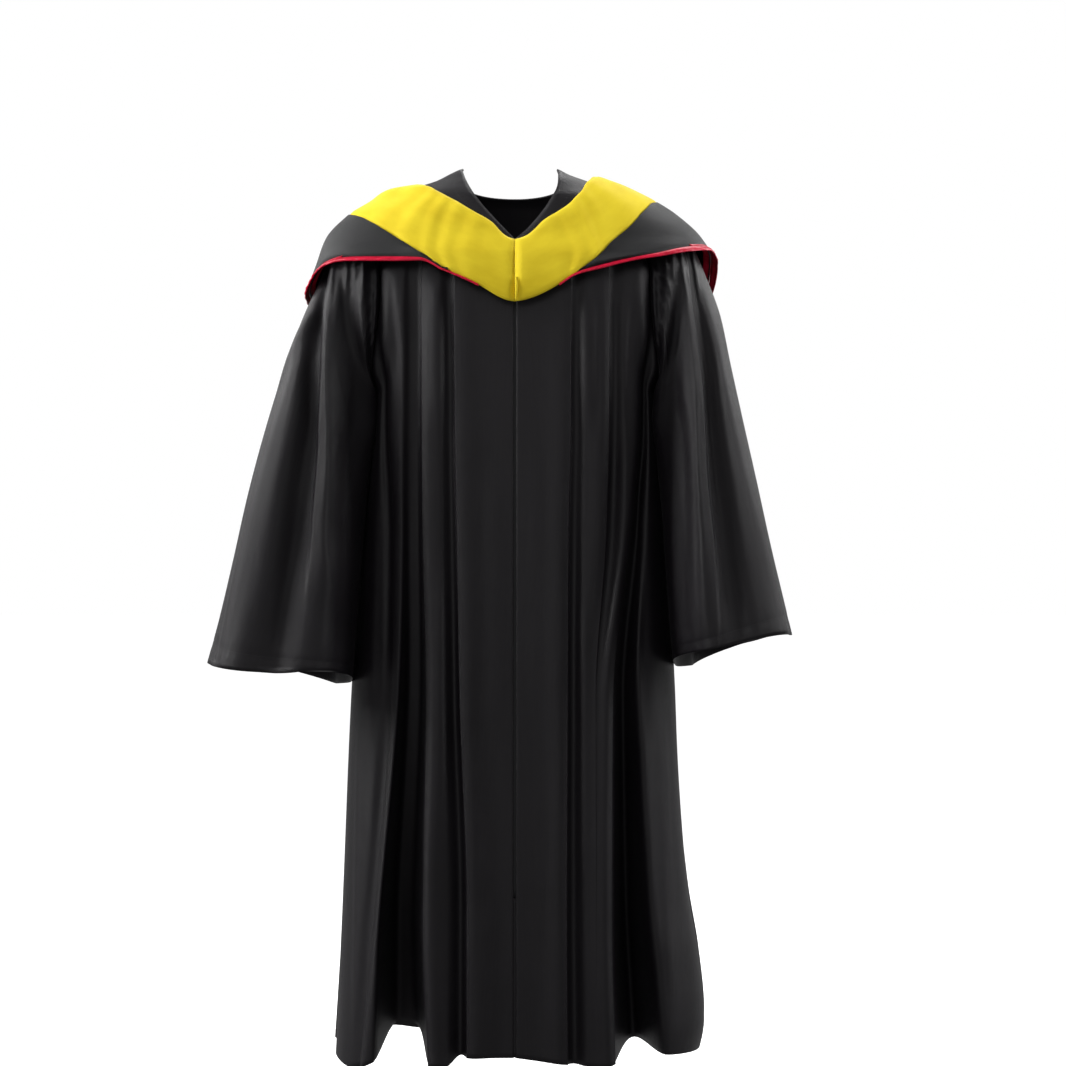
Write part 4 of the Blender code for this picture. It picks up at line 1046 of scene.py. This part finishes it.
# The sleeve's front laps over the body's side seam: by ring, at this angle and so much further in
NESTLES = Curves("ring angle reach", (0.0, 140, 0.0), (1.0, 134, 0.004), (2.0, 134, 0.014), (3.0, 136, 0.016),
                 (4.0, 142, 0.009), (6.0, 151, 0.005), (9.0, 153, 0.005), (11.0, 154, 0.005))
NESTLE_WIDTH = 15
SLEEVE_ROWS = 124
SLEEVE_COLUMNS = 280
ROW_CROWDING = 1.15       # the rows lie closer towards the armhole
COLUMN_CROWDING = 1.6     # there are so many more columns round the front edge of the main fold
CROWDED_ANGLES = (84, 34)
# The gathered head's fullness: on both sides, and more of it in front of the underarm
HeadPuff = namedtuple("HeadPuff", "height angle width ring reach")
HEAD_PUFF = HeadPuff(0.010, 85, 42, 1.4, 0.9)
FRONT_PUFF = HeadPuff(0.018, 116, 36, 1.2, 1.0)
HEAD_ROLL = HeadPuff(0.013, 100, 34, 0.4, 0.22)           # right beside the seam it rolls forward
HEAD_ROLL_START = 0.12
GATHERS = 32              # small gathers round the sleeve head
GATHER_SPREAD = 125       # they stop this many degrees from the ring's outer point
GATHER_SEED = 5
GATHER_SHIFTS = (-1.8, 1.8)               # each one's own shift, height, length and width
GATHER_HEIGHT = 0.0042
GATHER_HEIGHTS = (0.35, 1.0)
GATHER_REACHES = (1.2, 4.2)
GATHER_WIDTH = 2.6
GATHER_WIDTHS = (0.7, 1.2)
GATHER_FAN = 0.10         # they fan out by this share with each ring
SEAM_ROLL = 0.0030        # the armhole seam's allowance, turned to the sleeve
SEAM_ROLL_RING = 0.25
SEAM_ROLL_WIDTH = 0.16
BODY_SIDE = 48            # the sleeve lies smooth against the body within this angle
CUFF_LINE_ROW = 4.5       # rows above the cuff where its hem is stitched
CUFF_LINE = 0.0006
CUFF_LINE_WIDTH = 0.7     # in rows
CUFF_LINE_ROWS = 12       # only the last rows can feel it
CUFF_AWAY_ROW = -8        # the row that tells which way is out of the sleeve
CUFF_CENTRE_ROW = -6      # and the one whose middle the stitches face away from


def edge_lift(side, t, angle):
    edge = FOLD_EDGES[side]
    beyond = turn_between(edge.read("angle", t), angle)
    above = smoothstep(beyond / FOLD_EDGE_TURN)
    hollow = FOLD_EDGE_UNDER[side] * (1.0 - above) * bump(beyond, FOLD_EDGE_HOLLOW)
    rise = FOLD_EDGE_LOW + (FOLD_EDGE_HIGH - FOLD_EDGE_LOW) * smoothstep(beyond / FOLD_EDGE_CREST)
    layer = above * rise * bump(np.maximum(beyond - FOLD_EDGE_CREST, 0.0), FOLD_EDGE_LAYER)
    return edge.read("height", t) * (layer - hollow)


def head_gather_lift(side, ring):
    """The gathers' lift at the points of a plain ring."""
    across = side * ring[:, 0]
    lift = np.zeros(len(ring))
    for gather in HEAD_GATHERS[side]:
        share = (gather.z_top - ring[:, 2]) / (gather.z_top - gather.z_low)
        fade = smoothstep(share * 3.0) * smoothstep((1.0 - share) * 2.0)
        middle = gather.x_top + np.clip(share, 0.0, 1.0) * (gather.x_low - gather.x_top)
        lift += gather.height * fade * bump(across - middle, gather.width)
    return lift * smoothstep(-ring[:, 1] / HEAD_GATHER_FRONT)


def sleeve_gathers(side):
    """Places, heights, lengths and widths of the gathers, uneven but always the same."""
    random = np.random.default_rng(GATHER_SEED + side)
    angles = np.linspace(-GATHER_SPREAD, GATHER_SPREAD, GATHERS) + random.uniform(*GATHER_SHIFTS, GATHERS)
    heights = GATHER_HEIGHT * random.uniform(*GATHER_HEIGHTS, GATHERS)
    reaches = random.uniform(*GATHER_REACHES, GATHERS)
    widths = GATHER_WIDTH * random.uniform(*GATHER_WIDTHS, GATHERS)
    return list(zip(angles, heights, reaches, widths))


def puff_lift(puff, t, angle):
    return puff.height * bell(angle, puff.angle, puff.width) * bump(t - puff.ring, puff.reach)


def sleeve_lift(side, gathers, t, angle):
    lift = edge_lift(side, t, angle)
    for fold in SLEEVE_FOLDS[side]:
        middle, height = (monotone(SLEEVE_FOLD_RINGS, values, t) for values in (fold.angle, fold.height))
        lift += height * bell(angle, middle, fold.width)
    for crease in SLEEVE_CREASES[side]:
        share = (t - crease.t_top) / (crease.t_low - crease.t_top)
        if 0.0 < share < 1.0:
            open_end = 1.0 if crease.t_low >= LAST_RING else smoothstep((1.0 - share) * 3.0)
            middle = crease.angle_top + share * (crease.angle_low - crease.angle_top)
            lift += crease.height * smoothstep(share * 4.0) * open_end * bell(angle, middle, crease.width)
    for middle, height, reach, width in gathers:
        fade = smoothstep(t / 0.5) * smoothstep(1.0 - t / reach)
        lift += height * fade * bell(angle, middle * (1.0 + GATHER_FAN * t), width)
    lift += puff_lift(HEAD_PUFF, t, np.abs(angle)) + puff_lift(FRONT_PUFF, t, angle)
    by_body = bell(angle, 180.0, BODY_SIDE) * smoothstep(t / 2.0)
    return np.minimum(lift, lift * (1.0 - by_body)) + SEAM_ROLL * bump(t - SEAM_ROLL_RING, SEAM_ROLL_WIDTH)


def sleeve_ring(side, t, angle, extra):
    """One ring of the sleeve, as points at the given angles."""
    outer_x, outer_z, inner_x, inner_z, half_depth, forward, tuck = (
        float(RINGS[side].read(column, t)) for column in RING_COLUMNS.split())
    axis = ((outer_x - inner_x) / 2, (outer_z - inner_z) / 2)
    power = 2.0 / (2.0 + (RING_SQUARENESS - 2.0) * min(1.0, t / SQUARE_RING))
    cosine = np.cos(np.radians(angle))
    sine = np.sin(np.radians(angle))
    length = math.hypot(*axis)
    out_along = cosine / length
    out_deep = sine / half_depth
    lift = extra / np.hypot(out_along, out_deep)
    reach = np.copysign(np.abs(cosine) ** power, cosine) + lift * out_along / length
    x = (outer_x + inner_x) / 2 + axis[0] * reach - tuck * bell(angle, *TUCK)
    x = x - NESTLES.read("reach", t) * bell(angle, NESTLES.read("angle", t), NESTLE_WIDTH)
    y = -(forward + half_depth * np.copysign(np.abs(sine) ** power, sine) + lift * out_deep)
    z = (outer_z + inner_z) / 2 + axis[1] * reach
    near_cuff = smoothstep((t - (LAST_RING - CUFF_RINGS)) / CUFF_RINGS)
    for rise in CUFF_RISES[side]:
        z = z + near_cuff * rise.height * bell(angle, rise.angle, rise.width)
    return np.stack((side * x, y, z), axis=-1)


def sleeve_angles():
    """The columns' angles once round, from the body's side, crowded at the main fold's edge."""
    fine = np.linspace(180.0, 540.0, 1441)
    density = 1.0 + COLUMN_CROWDING * bell(fine, *CROWDED_ANGLES)
    grown = np.concatenate(([0.0], np.cumsum((density[1:] + density[:-1]) / 2)))
    even = np.linspace(0.0, grown[-1], SLEEVE_COLUMNS, endpoint=False)
    return turn_between(0.0, np.interp(even, grown, fine))


def sleeve_head(side, angle):
    """The armhole's edge, to which the first ring is sewn."""
    steps = angle / 360.0 * RING_STEPS
    puffs = np.where(steps > 0, corner_puff(0.0, armhole_level(steps)), 0.0)
    head = np.array([armhole_point(side, step, puff) for step, puff in zip(steps, puffs)])
    return head + (side * 2 * SEAM_GAP, 0.0, 0.0)


def sleeve_points(side):
    angle = sleeve_angles()
    head = sleeve_head(side, angle)
    gathers = sleeve_gathers(side)
    rows = []
    for t in np.linspace(0.0, 1.0, SLEEVE_ROWS + 1) ** ROW_CROWDING * LAST_RING:
        lift = sleeve_lift(side, gathers, t, angle)
        lift += head_gather_lift(side, sleeve_ring(side, t, angle, lift))
        ring = sleeve_ring(side, t, angle, lift)
        if t < 1.0:
            share = smoothstep(t)
            ring = head * (1.0 - share) + ring * share
            ring[:, 1] -= puff_lift(HEAD_ROLL, t, angle) * smoothstep(t / HEAD_ROLL_START)
        rows.append(ring)
    points = np.array(rows)
    away = points[CUFF_AWAY_ROW] - points[CUFF_AWAY_ROW].mean(axis=0)
    away /= np.linalg.norm(away, axis=1, keepdims=True)
    for r in range(SLEEVE_ROWS + 1 - CUFF_LINE_ROWS, SLEEVE_ROWS + 1):
        points[r] -= away * CUFF_LINE * bump(r - (SLEEVE_ROWS - CUFF_LINE_ROW), CUFF_LINE_WIDTH)
    return points


def make_sleeves():
    for name, side in SIDES.items():
        points = sleeve_points(side)
        cloth(f"sleeve_{name}_cloth", points, POLYESTER, f"sleeve_{name}", flip=side > 0, closed=True)
        ring = np.concatenate((points, points[:, :1]), axis=1)
        centre = points[CUFF_CENTRE_ROW].mean(axis=0)
        stitches(f"cuff_stitches_{name}", ring, centre, SLEEVE_ROWS - CUFF_LINE_ROW)


# ---------------------------------------------------------------- hood
# Stations from the point in front over the shoulder to the middle of the back: the face that each
# lies on, and the band's top edge, the seam below the band and the shell's hem
STATION_COLUMNS = "face top_x top_z low_x low_z hem_x hem_z"
HOOD_FRONT = {
    -1: (
        (1, 0.0, -0.113, 0.0, -0.205, 0.0, -0.205),
        (1, 0.033, -0.088, 0.052, -0.1805, 0.052, -0.1805),
        (1, 0.058, -0.0725, 0.085, -0.165, 0.085, -0.165),
        (1, 0.081, -0.058, 0.1043, -0.154, 0.1055, -0.1565),
        (1, 0.098, -0.048, 0.136, -0.133, 0.138, -0.141),
        (1, 0.113, -0.039, 0.170, -0.110, 0.189, -0.1395),
        (1, 0.125, -0.031, 0.203, -0.088, 0.242, -0.1385),
        (1, 0.134, -0.0255, 0.229, -0.074, 0.275, -0.145),
        (1, 0.140, -0.024, 0.250, -0.068, 0.303, -0.182),
        (-1, 0.136, -0.0265, 0.243, -0.074, 0.292, -0.205),
    ),
    1: (
        (1, 0.0, -0.113, 0.0, -0.205, 0.0, -0.205),
        (1, 0.0406, -0.0857, 0.064, -0.1795, 0.064, -0.1795),
        (1, 0.060, -0.073, 0.088, -0.163, 0.0885, -0.1635),
        (1, 0.075, -0.0626, 0.1146, -0.1427, 0.124, -0.1525),
        (1, 0.088, -0.049, 0.132, -0.124, 0.165, -0.142),
        (1, 0.098, -0.037, 0.157, -0.101, 0.202, -0.134),
        (1, 0.106, -0.023, 0.187, -0.068, 0.246, -0.123),
        (1, 0.115, -0.013, 0.201, -0.053, 0.278, -0.117),
        (1, 0.120, -0.010, 0.210, -0.050, 0.290, -0.130),
        (-1, 0.117, -0.014, 0.205, -0.060, 0.288, -0.165),
    ),
}
HOOD_BACK = (
    (-1, 0.126, -0.040, 0.226, -0.100, 0.272, -0.225),
    (-1, 0.117, -0.090, 0.203, -0.150, 0.245, -0.255),
    (-1, 0.105, -0.180, 0.180, -0.220, 0.217, -0.320),
    (-1, 0.092, -0.280, 0.163, -0.320, 0.197, -0.440),
    (-1, 0.075, -0.370, 0.140, -0.420, 0.172, -0.570),
    (-1, 0.048, -0.435, 0.100, -0.500, 0.125, -0.680),
    (-1, 0.021, -0.465, 0.048, -0.545, 0.062, -0.738),
    (-1, 0.0, -0.472, 0.0, -0.555, 0.0, -0.752),
)
TOP_CROWDING = 1.6
BAND_COLUMNS = 300
BAND_ROWS = 26
SHELL_START = {-1: 2.6, 1: 2.05}          # the station where the shell begins
SHELL_COLUMNS = 260
SHELL_ROWS = 34
EDGE_START = 1.0
EDGE_COLUMNS = 420
EDGE_ROWS = 8
EDGE_WIDTHS = {           # the satin border's width, by station
    -1: Curves("station width", (1.0, 0.0024), (3.4, 0.0030), (4.8, 0.0075), (8.0, 0.0080), (10.0, 0.0070),
               (17.0, 0.0070)),
    1: Curves("station width", (1.0, 0.0024), (2.6, 0.0040), (5.0, 0.0075), (7.0, 0.0115), (8.4, 0.0130),
              (11.0, 0.0070), (17.0, 0.0070)),
}
EDGE_BULGE = 0.0032       # it bulges so far at most, or by this share of a narrow border
EDGE_BULGE_SHARE = 0.45
EDGE_SINK = 0.0009
EDGE_TUCK = 0.0012        # its first row lies under the shell's hem
TURN_STATIONS = (6.2, 12.0)
TURN_COLUMNS = 120
TURN_ROWS = 8
TURN_WIDTH = {-1: 0.010, 1: 0.011}
TURN_END = 0.001          # it is at least so wide
TURN_GAP = 0.0006         # and lies so far inside the hem
TURN_RISE = 0.04
LINING_START = 11.0
LINING_DROOP = 0.050
LINING_END = 0.25         # it ends this much before the last station
LINING_ROWS = 70
LINING_COLUMNS = 64
LINING_DRAPE = 0.0030
LINING_FLUTES = 19.0      # how fast its flutes turn across, and how they slant on the way down
LINING_SLANT = 1.2
# Small waves: their height, how fast they turn along the hood and down it, and their start by side
Wave = namedtuple("Wave", "height along down start")
BAND_WAVE = Wave(0.0009, 2.1, 0.0, 1.7)
BAND_SLANT = Wave(0.0007, 5.3, 3.0, 1.0)
SHELL_WAVE = Wave(0.0012, 1.7, 0.0, 2.2)
EDGE_WRINKLES = (Wave(0.0005, 34.0, 5.0, 1.0), Wave(0.0004, 13.0, 0.0, 0.0))
BAND_ROLL = 0.0022        # how far a turned edge of the hood rolls in
BAND_ROLL_WIDTH = 0.0040
SEAM_SINK = 0.0022        # the velvet's centre seam, with small puckers beside it
SEAM_SINK_WIDTH = 0.0026
PUCKER = 0.0006
PUCKER_RATE = 420.0
PUCKER_MIDDLE = 0.004
PUCKER_WIDTH = 0.005
TUCK_TOP_Z = -0.170       # the small tuck at the point of the band
TUCK_LOW_Z = -0.202
TUCK_STEPS = 14
TUCK_RADIUS = 0.0017


class HoodSide:
    """Half of the hood, from the point in front over the shoulder to the middle of the back."""

    def __init__(self, side):
        self.side = side
        stations = table(STATION_COLUMNS, *HOOD_FRONT[side], *HOOD_BACK)
        self.last = len(stations) - 1
        self.edges = {}
        for edge in ("top", "low", "hem"):
            places = [(s.face, getattr(s, edge + "_x"), getattr(s, edge + "_z")) for s in stations]
            self.edges[edge] = numbered(
                "angle z", *((abs(HOOD.angle_at(side, face, x, z)), z) for face, x, z in places))

    def edge(self, name, s):
        return self.edges[name].read("angle", s), self.edges[name].read("z", s)

    def between(self, inner, outer, s, share, lift=0.0):
        """Points on the hood a share of the way from one edge to another at stations s."""
        inner_angle, inner_z = self.edge(inner, s)
        outer_angle, outer_z = self.edge(outer, s)
        on_shoulder = np.sin(np.radians(inner_angle)) ** 4
        fall = share ** (1.0 + (TOP_CROWDING - 1.0) * on_shoulder)
        angle = inner_angle + share * (outer_angle - inner_angle)
        return HOOD.point(self.side * angle, inner_z + fall * (outer_z - inner_z), lift)

    def stations(self, start, columns):
        return start + np.linspace(0.0, 1.0, columns + 1) * (self.last - start)

    def clear_centre(self, points):
        points[..., 0] = self.side * np.maximum(np.abs(points[..., 0]), SEAM_GAP / 2)
        return points


def waves(wave, side, s, share):
    return wave.height * np.sin(wave.along * s + wave.down * share + wave.start * side)


def shares(count):
    """A column of shares, from 0 to 1."""
    return np.linspace(0.0, 1.0, count + 1)[:, None]


def towards(points, targets, distance=3 * SEAM_GAP):
    gap = np.linalg.norm(targets - points, axis=-1, keepdims=True)
    return points + (targets - points) * np.where(gap > distance, distance / np.maximum(gap, 1e-9), 0.4)


def rolled(points, top=True):
    """Rolls the last rows of a grid in, and the first ones too, by how near a point lies to the edge."""
    down = along(points, 0)
    out = normals(points)
    if (out * points * (1, 1, 0)).sum() < 0:
        out = -out
    turn = bump(down[-1] - down, BAND_ROLL_WIDTH)
    if top:
        turn = turn + bump(down, BAND_ROLL_WIDTH)
    return points - out * BAND_ROLL * turn[..., None]


def band_points(half):
    s, share = np.broadcast_arrays(half.stations(0.0, BAND_COLUMNS), shares(BAND_ROWS))
    lift = waves(BAND_WAVE, half.side, s, share) * np.sin(math.pi * share)
    lift = lift + waves(BAND_SLANT, half.side, s, share) * smoothstep(s / 2.0)
    points = rolled(half.between("top", "low", s, share, lift))
    from_centre = np.abs(points[..., 0])
    pucker = PUCKER * np.sin(along(points, 0) * PUCKER_RATE) * bump(from_centre - PUCKER_MIDDLE, PUCKER_WIDTH)
    front = np.where(points[..., 1] < 0, 1.0, -1.0)
    points[..., 1] += front * (SEAM_SINK * bump(from_centre, SEAM_SINK_WIDTH) - pucker)
    return half.clear_centre(points)


def shell_points(half):
    start = SHELL_START[half.side]
    s, share = np.broadcast_arrays(half.stations(start, SHELL_COLUMNS), shares(SHELL_ROWS))
    lift = waves(SHELL_WAVE, half.side, s, share) * np.sin(math.pi * share)
    points = half.between("low", "hem", s, share, lift)
    points[0] = towards(points[0], points[1])
    return half.clear_centre(rolled(points, top=False))


def edge_points(half):
    """The satin border below the shell: a soft roll, crossed by small wrinkles."""
    s = half.stations(EDGE_START, EDGE_COLUMNS)
    hem = half.between("low", "hem", s, 1.0)
    ahead = hem - half.between("top", "low", s, 0.9)
    ahead /= np.linalg.norm(ahead, axis=1, keepdims=True)
    width = EDGE_WIDTHS[half.side].read("width", s)
    share = shares(EDGE_ROWS)
    distance = 3 * SEAM_GAP + share * width - EDGE_TUCK * (share == 0.0)
    points = hem + ahead * distance[..., None]
    away = points * (1.0, 1.0, 0.3)
    away /= np.linalg.norm(away, axis=-1, keepdims=True)
    wrinkle = sum(waves(wave, half.side, s, share) for wave in EDGE_WRINKLES)
    bulge = np.minimum(EDGE_BULGE_SHARE * width, EDGE_BULGE) * np.sin(math.pi * (0.12 + 0.88 * share))
    points += away * (bulge - EDGE_SINK + wrinkle * np.sin(math.pi * share))[..., None]
    return half.clear_centre(points)


def turn_points(half):
    """The lining just inside the hem, which shows from below where the hood stands off the sleeve."""
    s = np.linspace(*TURN_STATIONS, TURN_COLUMNS)
    width = TURN_WIDTH[half.side] * np.sin(math.pi * np.linspace(0.0, 1.0, TURN_COLUMNS)) ** 0.7 + TURN_END
    share = shares(TURN_ROWS - 1)
    return half.between("low", "hem", s, 1.0 - TURN_RISE * share, -TURN_GAP - width * share)


def lining_points(left, right):
    """The lining across the back, from one band to the other, drooping at its free top."""
    s = LINING_START + shares(LINING_ROWS) * (left.last - LINING_END - LINING_START)
    share = np.linspace(0.0, 1.0, LINING_COLUMNS + 1)
    (left_angle, left_z), (right_angle, right_z) = left.edge("top", s), right.edge("top", s)
    angle = 360.0 - left_angle + share * (right_angle - (360.0 - left_angle))
    down = (s - LINING_START) / (left.last - LINING_START)
    arch = np.sin(math.pi * share)
    z = left_z + share * (right_z - left_z) - LINING_DROOP * (1.0 - down) ** 2 * arch
    drape = LINING_DRAPE * np.cos(share * LINING_FLUTES + LINING_SLANT * down) * arch * (1.0 - 0.5 * down)
    points = HOOD.point(np.where(angle <= 180.0, angle, angle - 360.0), z, drape)
    points[:, 0] = towards(points[:, 0], points[:, 1])
    points[:, -1] = towards(points[:, -1], points[:, -2])
    return points


def make_tuck():
    """The small velvet tuck that stands on the centre seam at the band's point."""
    curve = bpy.data.curves.new("hood_tuck", "CURVE")
    curve.dimensions = "3D"
    curve.bevel_depth = TUCK_RADIUS
    curve.bevel_resolution = 4
    curve.use_fill_caps = True
    spline = curve.splines.new("POLY")
    spline.points.add(TUCK_STEPS)
    for i, point in enumerate(spline.points):
        share = i / TUCK_STEPS
        z = TUCK_TOP_Z + (TUCK_LOW_Z - TUCK_TOP_Z) * share
        y = -float(HOOD.half_depth(1, z)) + 0.0006 - 0.0014 * math.sin(math.pi * share)
        point.co = (0.0016 + 0.0012 * math.sin(3.4 * share), y, z, 1.0)
        point.radius = 0.35 + 0.75 * math.sin(math.pi * (0.1 + 0.8 * share))
    curve.materials.append(VELVET)
    join_as_piece(link("hood_tuck", curve), "hood_velvet")


def make_hood():
    halves = {name: HoodSide(side) for name, side in SIDES.items()}
    for name, half in halves.items():
        for kind, points, fabric in (("trim", band_points, BAND), ("shell", shell_points, SHELL),
                                     ("edge", edge_points, LINING)):
            node = f"hood_{kind}_{name}"
            cloth(node + "_cloth", points(half), fabric, node, flip=half.side < 0)
        cloth(f"hood_turn_{name}", turn_points(half), TURN, flip=half.side < 0)
    cloth("hood_lining_cloth", lining_points(halves["left"], halves["right"]), LINING, "hood_lining")
    make_tuck()


# ---------------------------------------------------------------- sheets
# Each piece of cloth as it was cut: its widest and longest, in metres, and its flat area
CUTS = table(
    "piece width length area held rests_on with_pieces",
    ("yoke_front_left_cloth", 0.20, 0.17, 0.027, "hung", "yoke_back_cloth", "neck_stitches_left"),
    ("yoke_front_right_cloth", 0.20, 0.17, 0.027, "hung", "yoke_back_cloth", "neck_stitches_right"),
    ("yoke_back_cloth", 0.46, 0.20, 0.060, "hung", "", "neck_stitches_back"),
    ("front_left_cloth", 0.66, 1.18, 0.485, "gathered", "yoke_front_left_cloth", ""),
    ("front_right_cloth", 0.60, 1.18, 0.465, "gathered", "yoke_front_right_cloth", ""),
    ("back_cloth", 1.04, 1.19, 0.845, "gathered", "yoke_back_cloth", ""),
    ("front_zip_tape", 0.026, 0.90, None, "hung", "front_left_cloth front_right_cloth",
     "zip_coil zip_slider zip_pull"),
    ("front_facing", 0.026, 0.23, None, "hung", "front_left_cloth front_right_cloth", ""),
    ("sleeve_left_cloth", 0.92, 0.73, 0.445, "gathered", "yoke_front_left_cloth back_cloth",
     "cuff_stitches_left"),
    ("sleeve_right_cloth", 0.89, 0.68, 0.395, "gathered", "yoke_front_right_cloth back_cloth",
     "cuff_stitches_right"),
    ("hood_trim_left_cloth", 0.12, 0.90, 0.084, "draped", "yoke_front_left_cloth", ""),
    ("hood_trim_right_cloth", 0.12, 0.90, 0.080, "draped", "yoke_front_right_cloth", "hood_tuck"),
    ("hood_shell_left_cloth", 0.20, 1.07, 0.090, "draped", "hood_trim_left_cloth", ""),
    ("hood_shell_right_cloth", 0.20, 1.07, 0.088, "draped", "hood_trim_right_cloth", ""),
    ("hood_edge_left_cloth", 0.011, 1.13, 0.0086, "folded", "hood_shell_left_cloth", ""),
    ("hood_edge_right_cloth", 0.014, 1.12, 0.0092, "folded", "hood_shell_right_cloth", ""),
    ("hood_turn_left", 0.014, 0.38, 0.0038, "folded", "hood_shell_left_cloth", ""),
    ("hood_turn_right", 0.014, 0.37, 0.0038, "folded", "hood_shell_right_cloth", ""),
    ("hood_lining_cloth", 0.30, 0.42, 0.058, "hung", "hood_trim_left_cloth hood_trim_right_cloth", ""),
)


# ---------------------------------------------------------------- stage, light and camera
FLOOR_SIZE = 60.0
FLOOR_GLOW = 0.80
FLOOR_Z = -1.47
SOFTBOXES = table(
    "name place target size power",
    ("key", (-1.5, -4.6, 2.2), (0.0, 0.0, -0.6), (2.2, 2.2), 56.0),
    ("side_left", (-2.6, -0.4, 1.0), (0.0, 0.0, -0.6), (1.1, 2.4), 120.0),
    ("side_right", (2.6, -0.2, 1.0), (0.0, 0.0, -0.6), (1.1, 2.4), 72.0),
    ("back_left", (-2.4, 2.2, 1.2), (0.0, 0.0, -0.6), (1.0, 2.0), 30.0),
    ("back_right", (2.4, 2.2, 1.2), (0.0, 0.0, -0.6), (1.0, 2.0), 30.0),
    ("key_back", (0.6, 2.6, 3.2), (0.0, 0.0, -0.3), (2.0, 2.0), 70.0),
)
AMBIENT = 0.30            # the strength of the surroundings' light, while they look white
CAMERA_PLACE = (0.026, -4.5, -0.535)
FRAME_WIDTH = 1.567       # the width that the picture shows at the gown's middle


def make_stage():
    """A plain white floor that glows a little, so that it meets the white surroundings unseen."""
    bpy.ops.mesh.primitive_plane_add(size=FLOOR_SIZE, location=(0.0, 0.0, FLOOR_Z))
    floor = bpy.context.object
    floor.name = "studio_floor"
    s = Shader("studio_floor")
    s.set(Base_Color=(0.80, 0.80, 0.80, 1.0), Roughness=0.9)
    s.set(Emission_Color=(1.0, 1.0, 1.0, 1.0), Emission_Strength=FLOOR_GLOW)
    floor.data.materials.append(s.material)
    floor.visible_diffuse = False
    floor.visible_glossy = False
    floor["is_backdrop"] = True


def make_softbox(box):
    light = bpy.data.lights.new(box.name, "AREA")
    light.shape = "RECTANGLE"
    light.size, light.size_y = box.size
    light.energy = box.power
    lamp = link(box.name, light)
    lamp.location = box.place
    direction = np.array(box.target) - np.array(box.place)
    lamp.rotation_euler = Vector(direction).to_track_quat("-Z", "Y").to_euler()
    lamp.visible_camera = False


def make_light():
    """Softboxes round the gown, and white surroundings that shed only a soft light."""
    for box in SOFTBOXES:
        make_softbox(box)
    world = bpy.data.worlds.new("studio")
    world.use_nodes = True
    tree = world.node_tree
    seen = tree.nodes.new("ShaderNodeLightPath")
    ramp = tree.nodes.new("ShaderNodeMapRange")
    ramp.inputs["To Min"].default_value = AMBIENT
    tree.links.new(seen.outputs["Is Camera Ray"], ramp.inputs["Value"])
    tree.links.new(ramp.outputs[0], tree.nodes["Background"].inputs["Strength"])
    tree.nodes["Background"].inputs["Color"].default_value = (1.0, 1.0, 1.0, 1.0)
    bpy.context.scene.world = world
    bpy.context.scene.view_settings.view_transform = "Standard"


def make_camera():
    camera = bpy.data.cameras.new("camera")
    camera.angle = 2 * math.atan(FRAME_WIDTH / 2 / -CAMERA_PLACE[1])
    eye = link("camera", camera)
    eye.location = CAMERA_PLACE
    eye.rotation_euler = (math.pi / 2, 0.0, 0.0)
    bpy.context.scene.camera = eye


def main():
    make_yoke()
    make_body()
    make_zip()
    make_sleeves()
    make_hood()
    make_stage()
    make_light()
    make_camera()
    boxes = {"cad": CAD_BOX, "visual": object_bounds()}
    {name: [list(corner) for corner in box] for name, box in boxes.items()}


main()
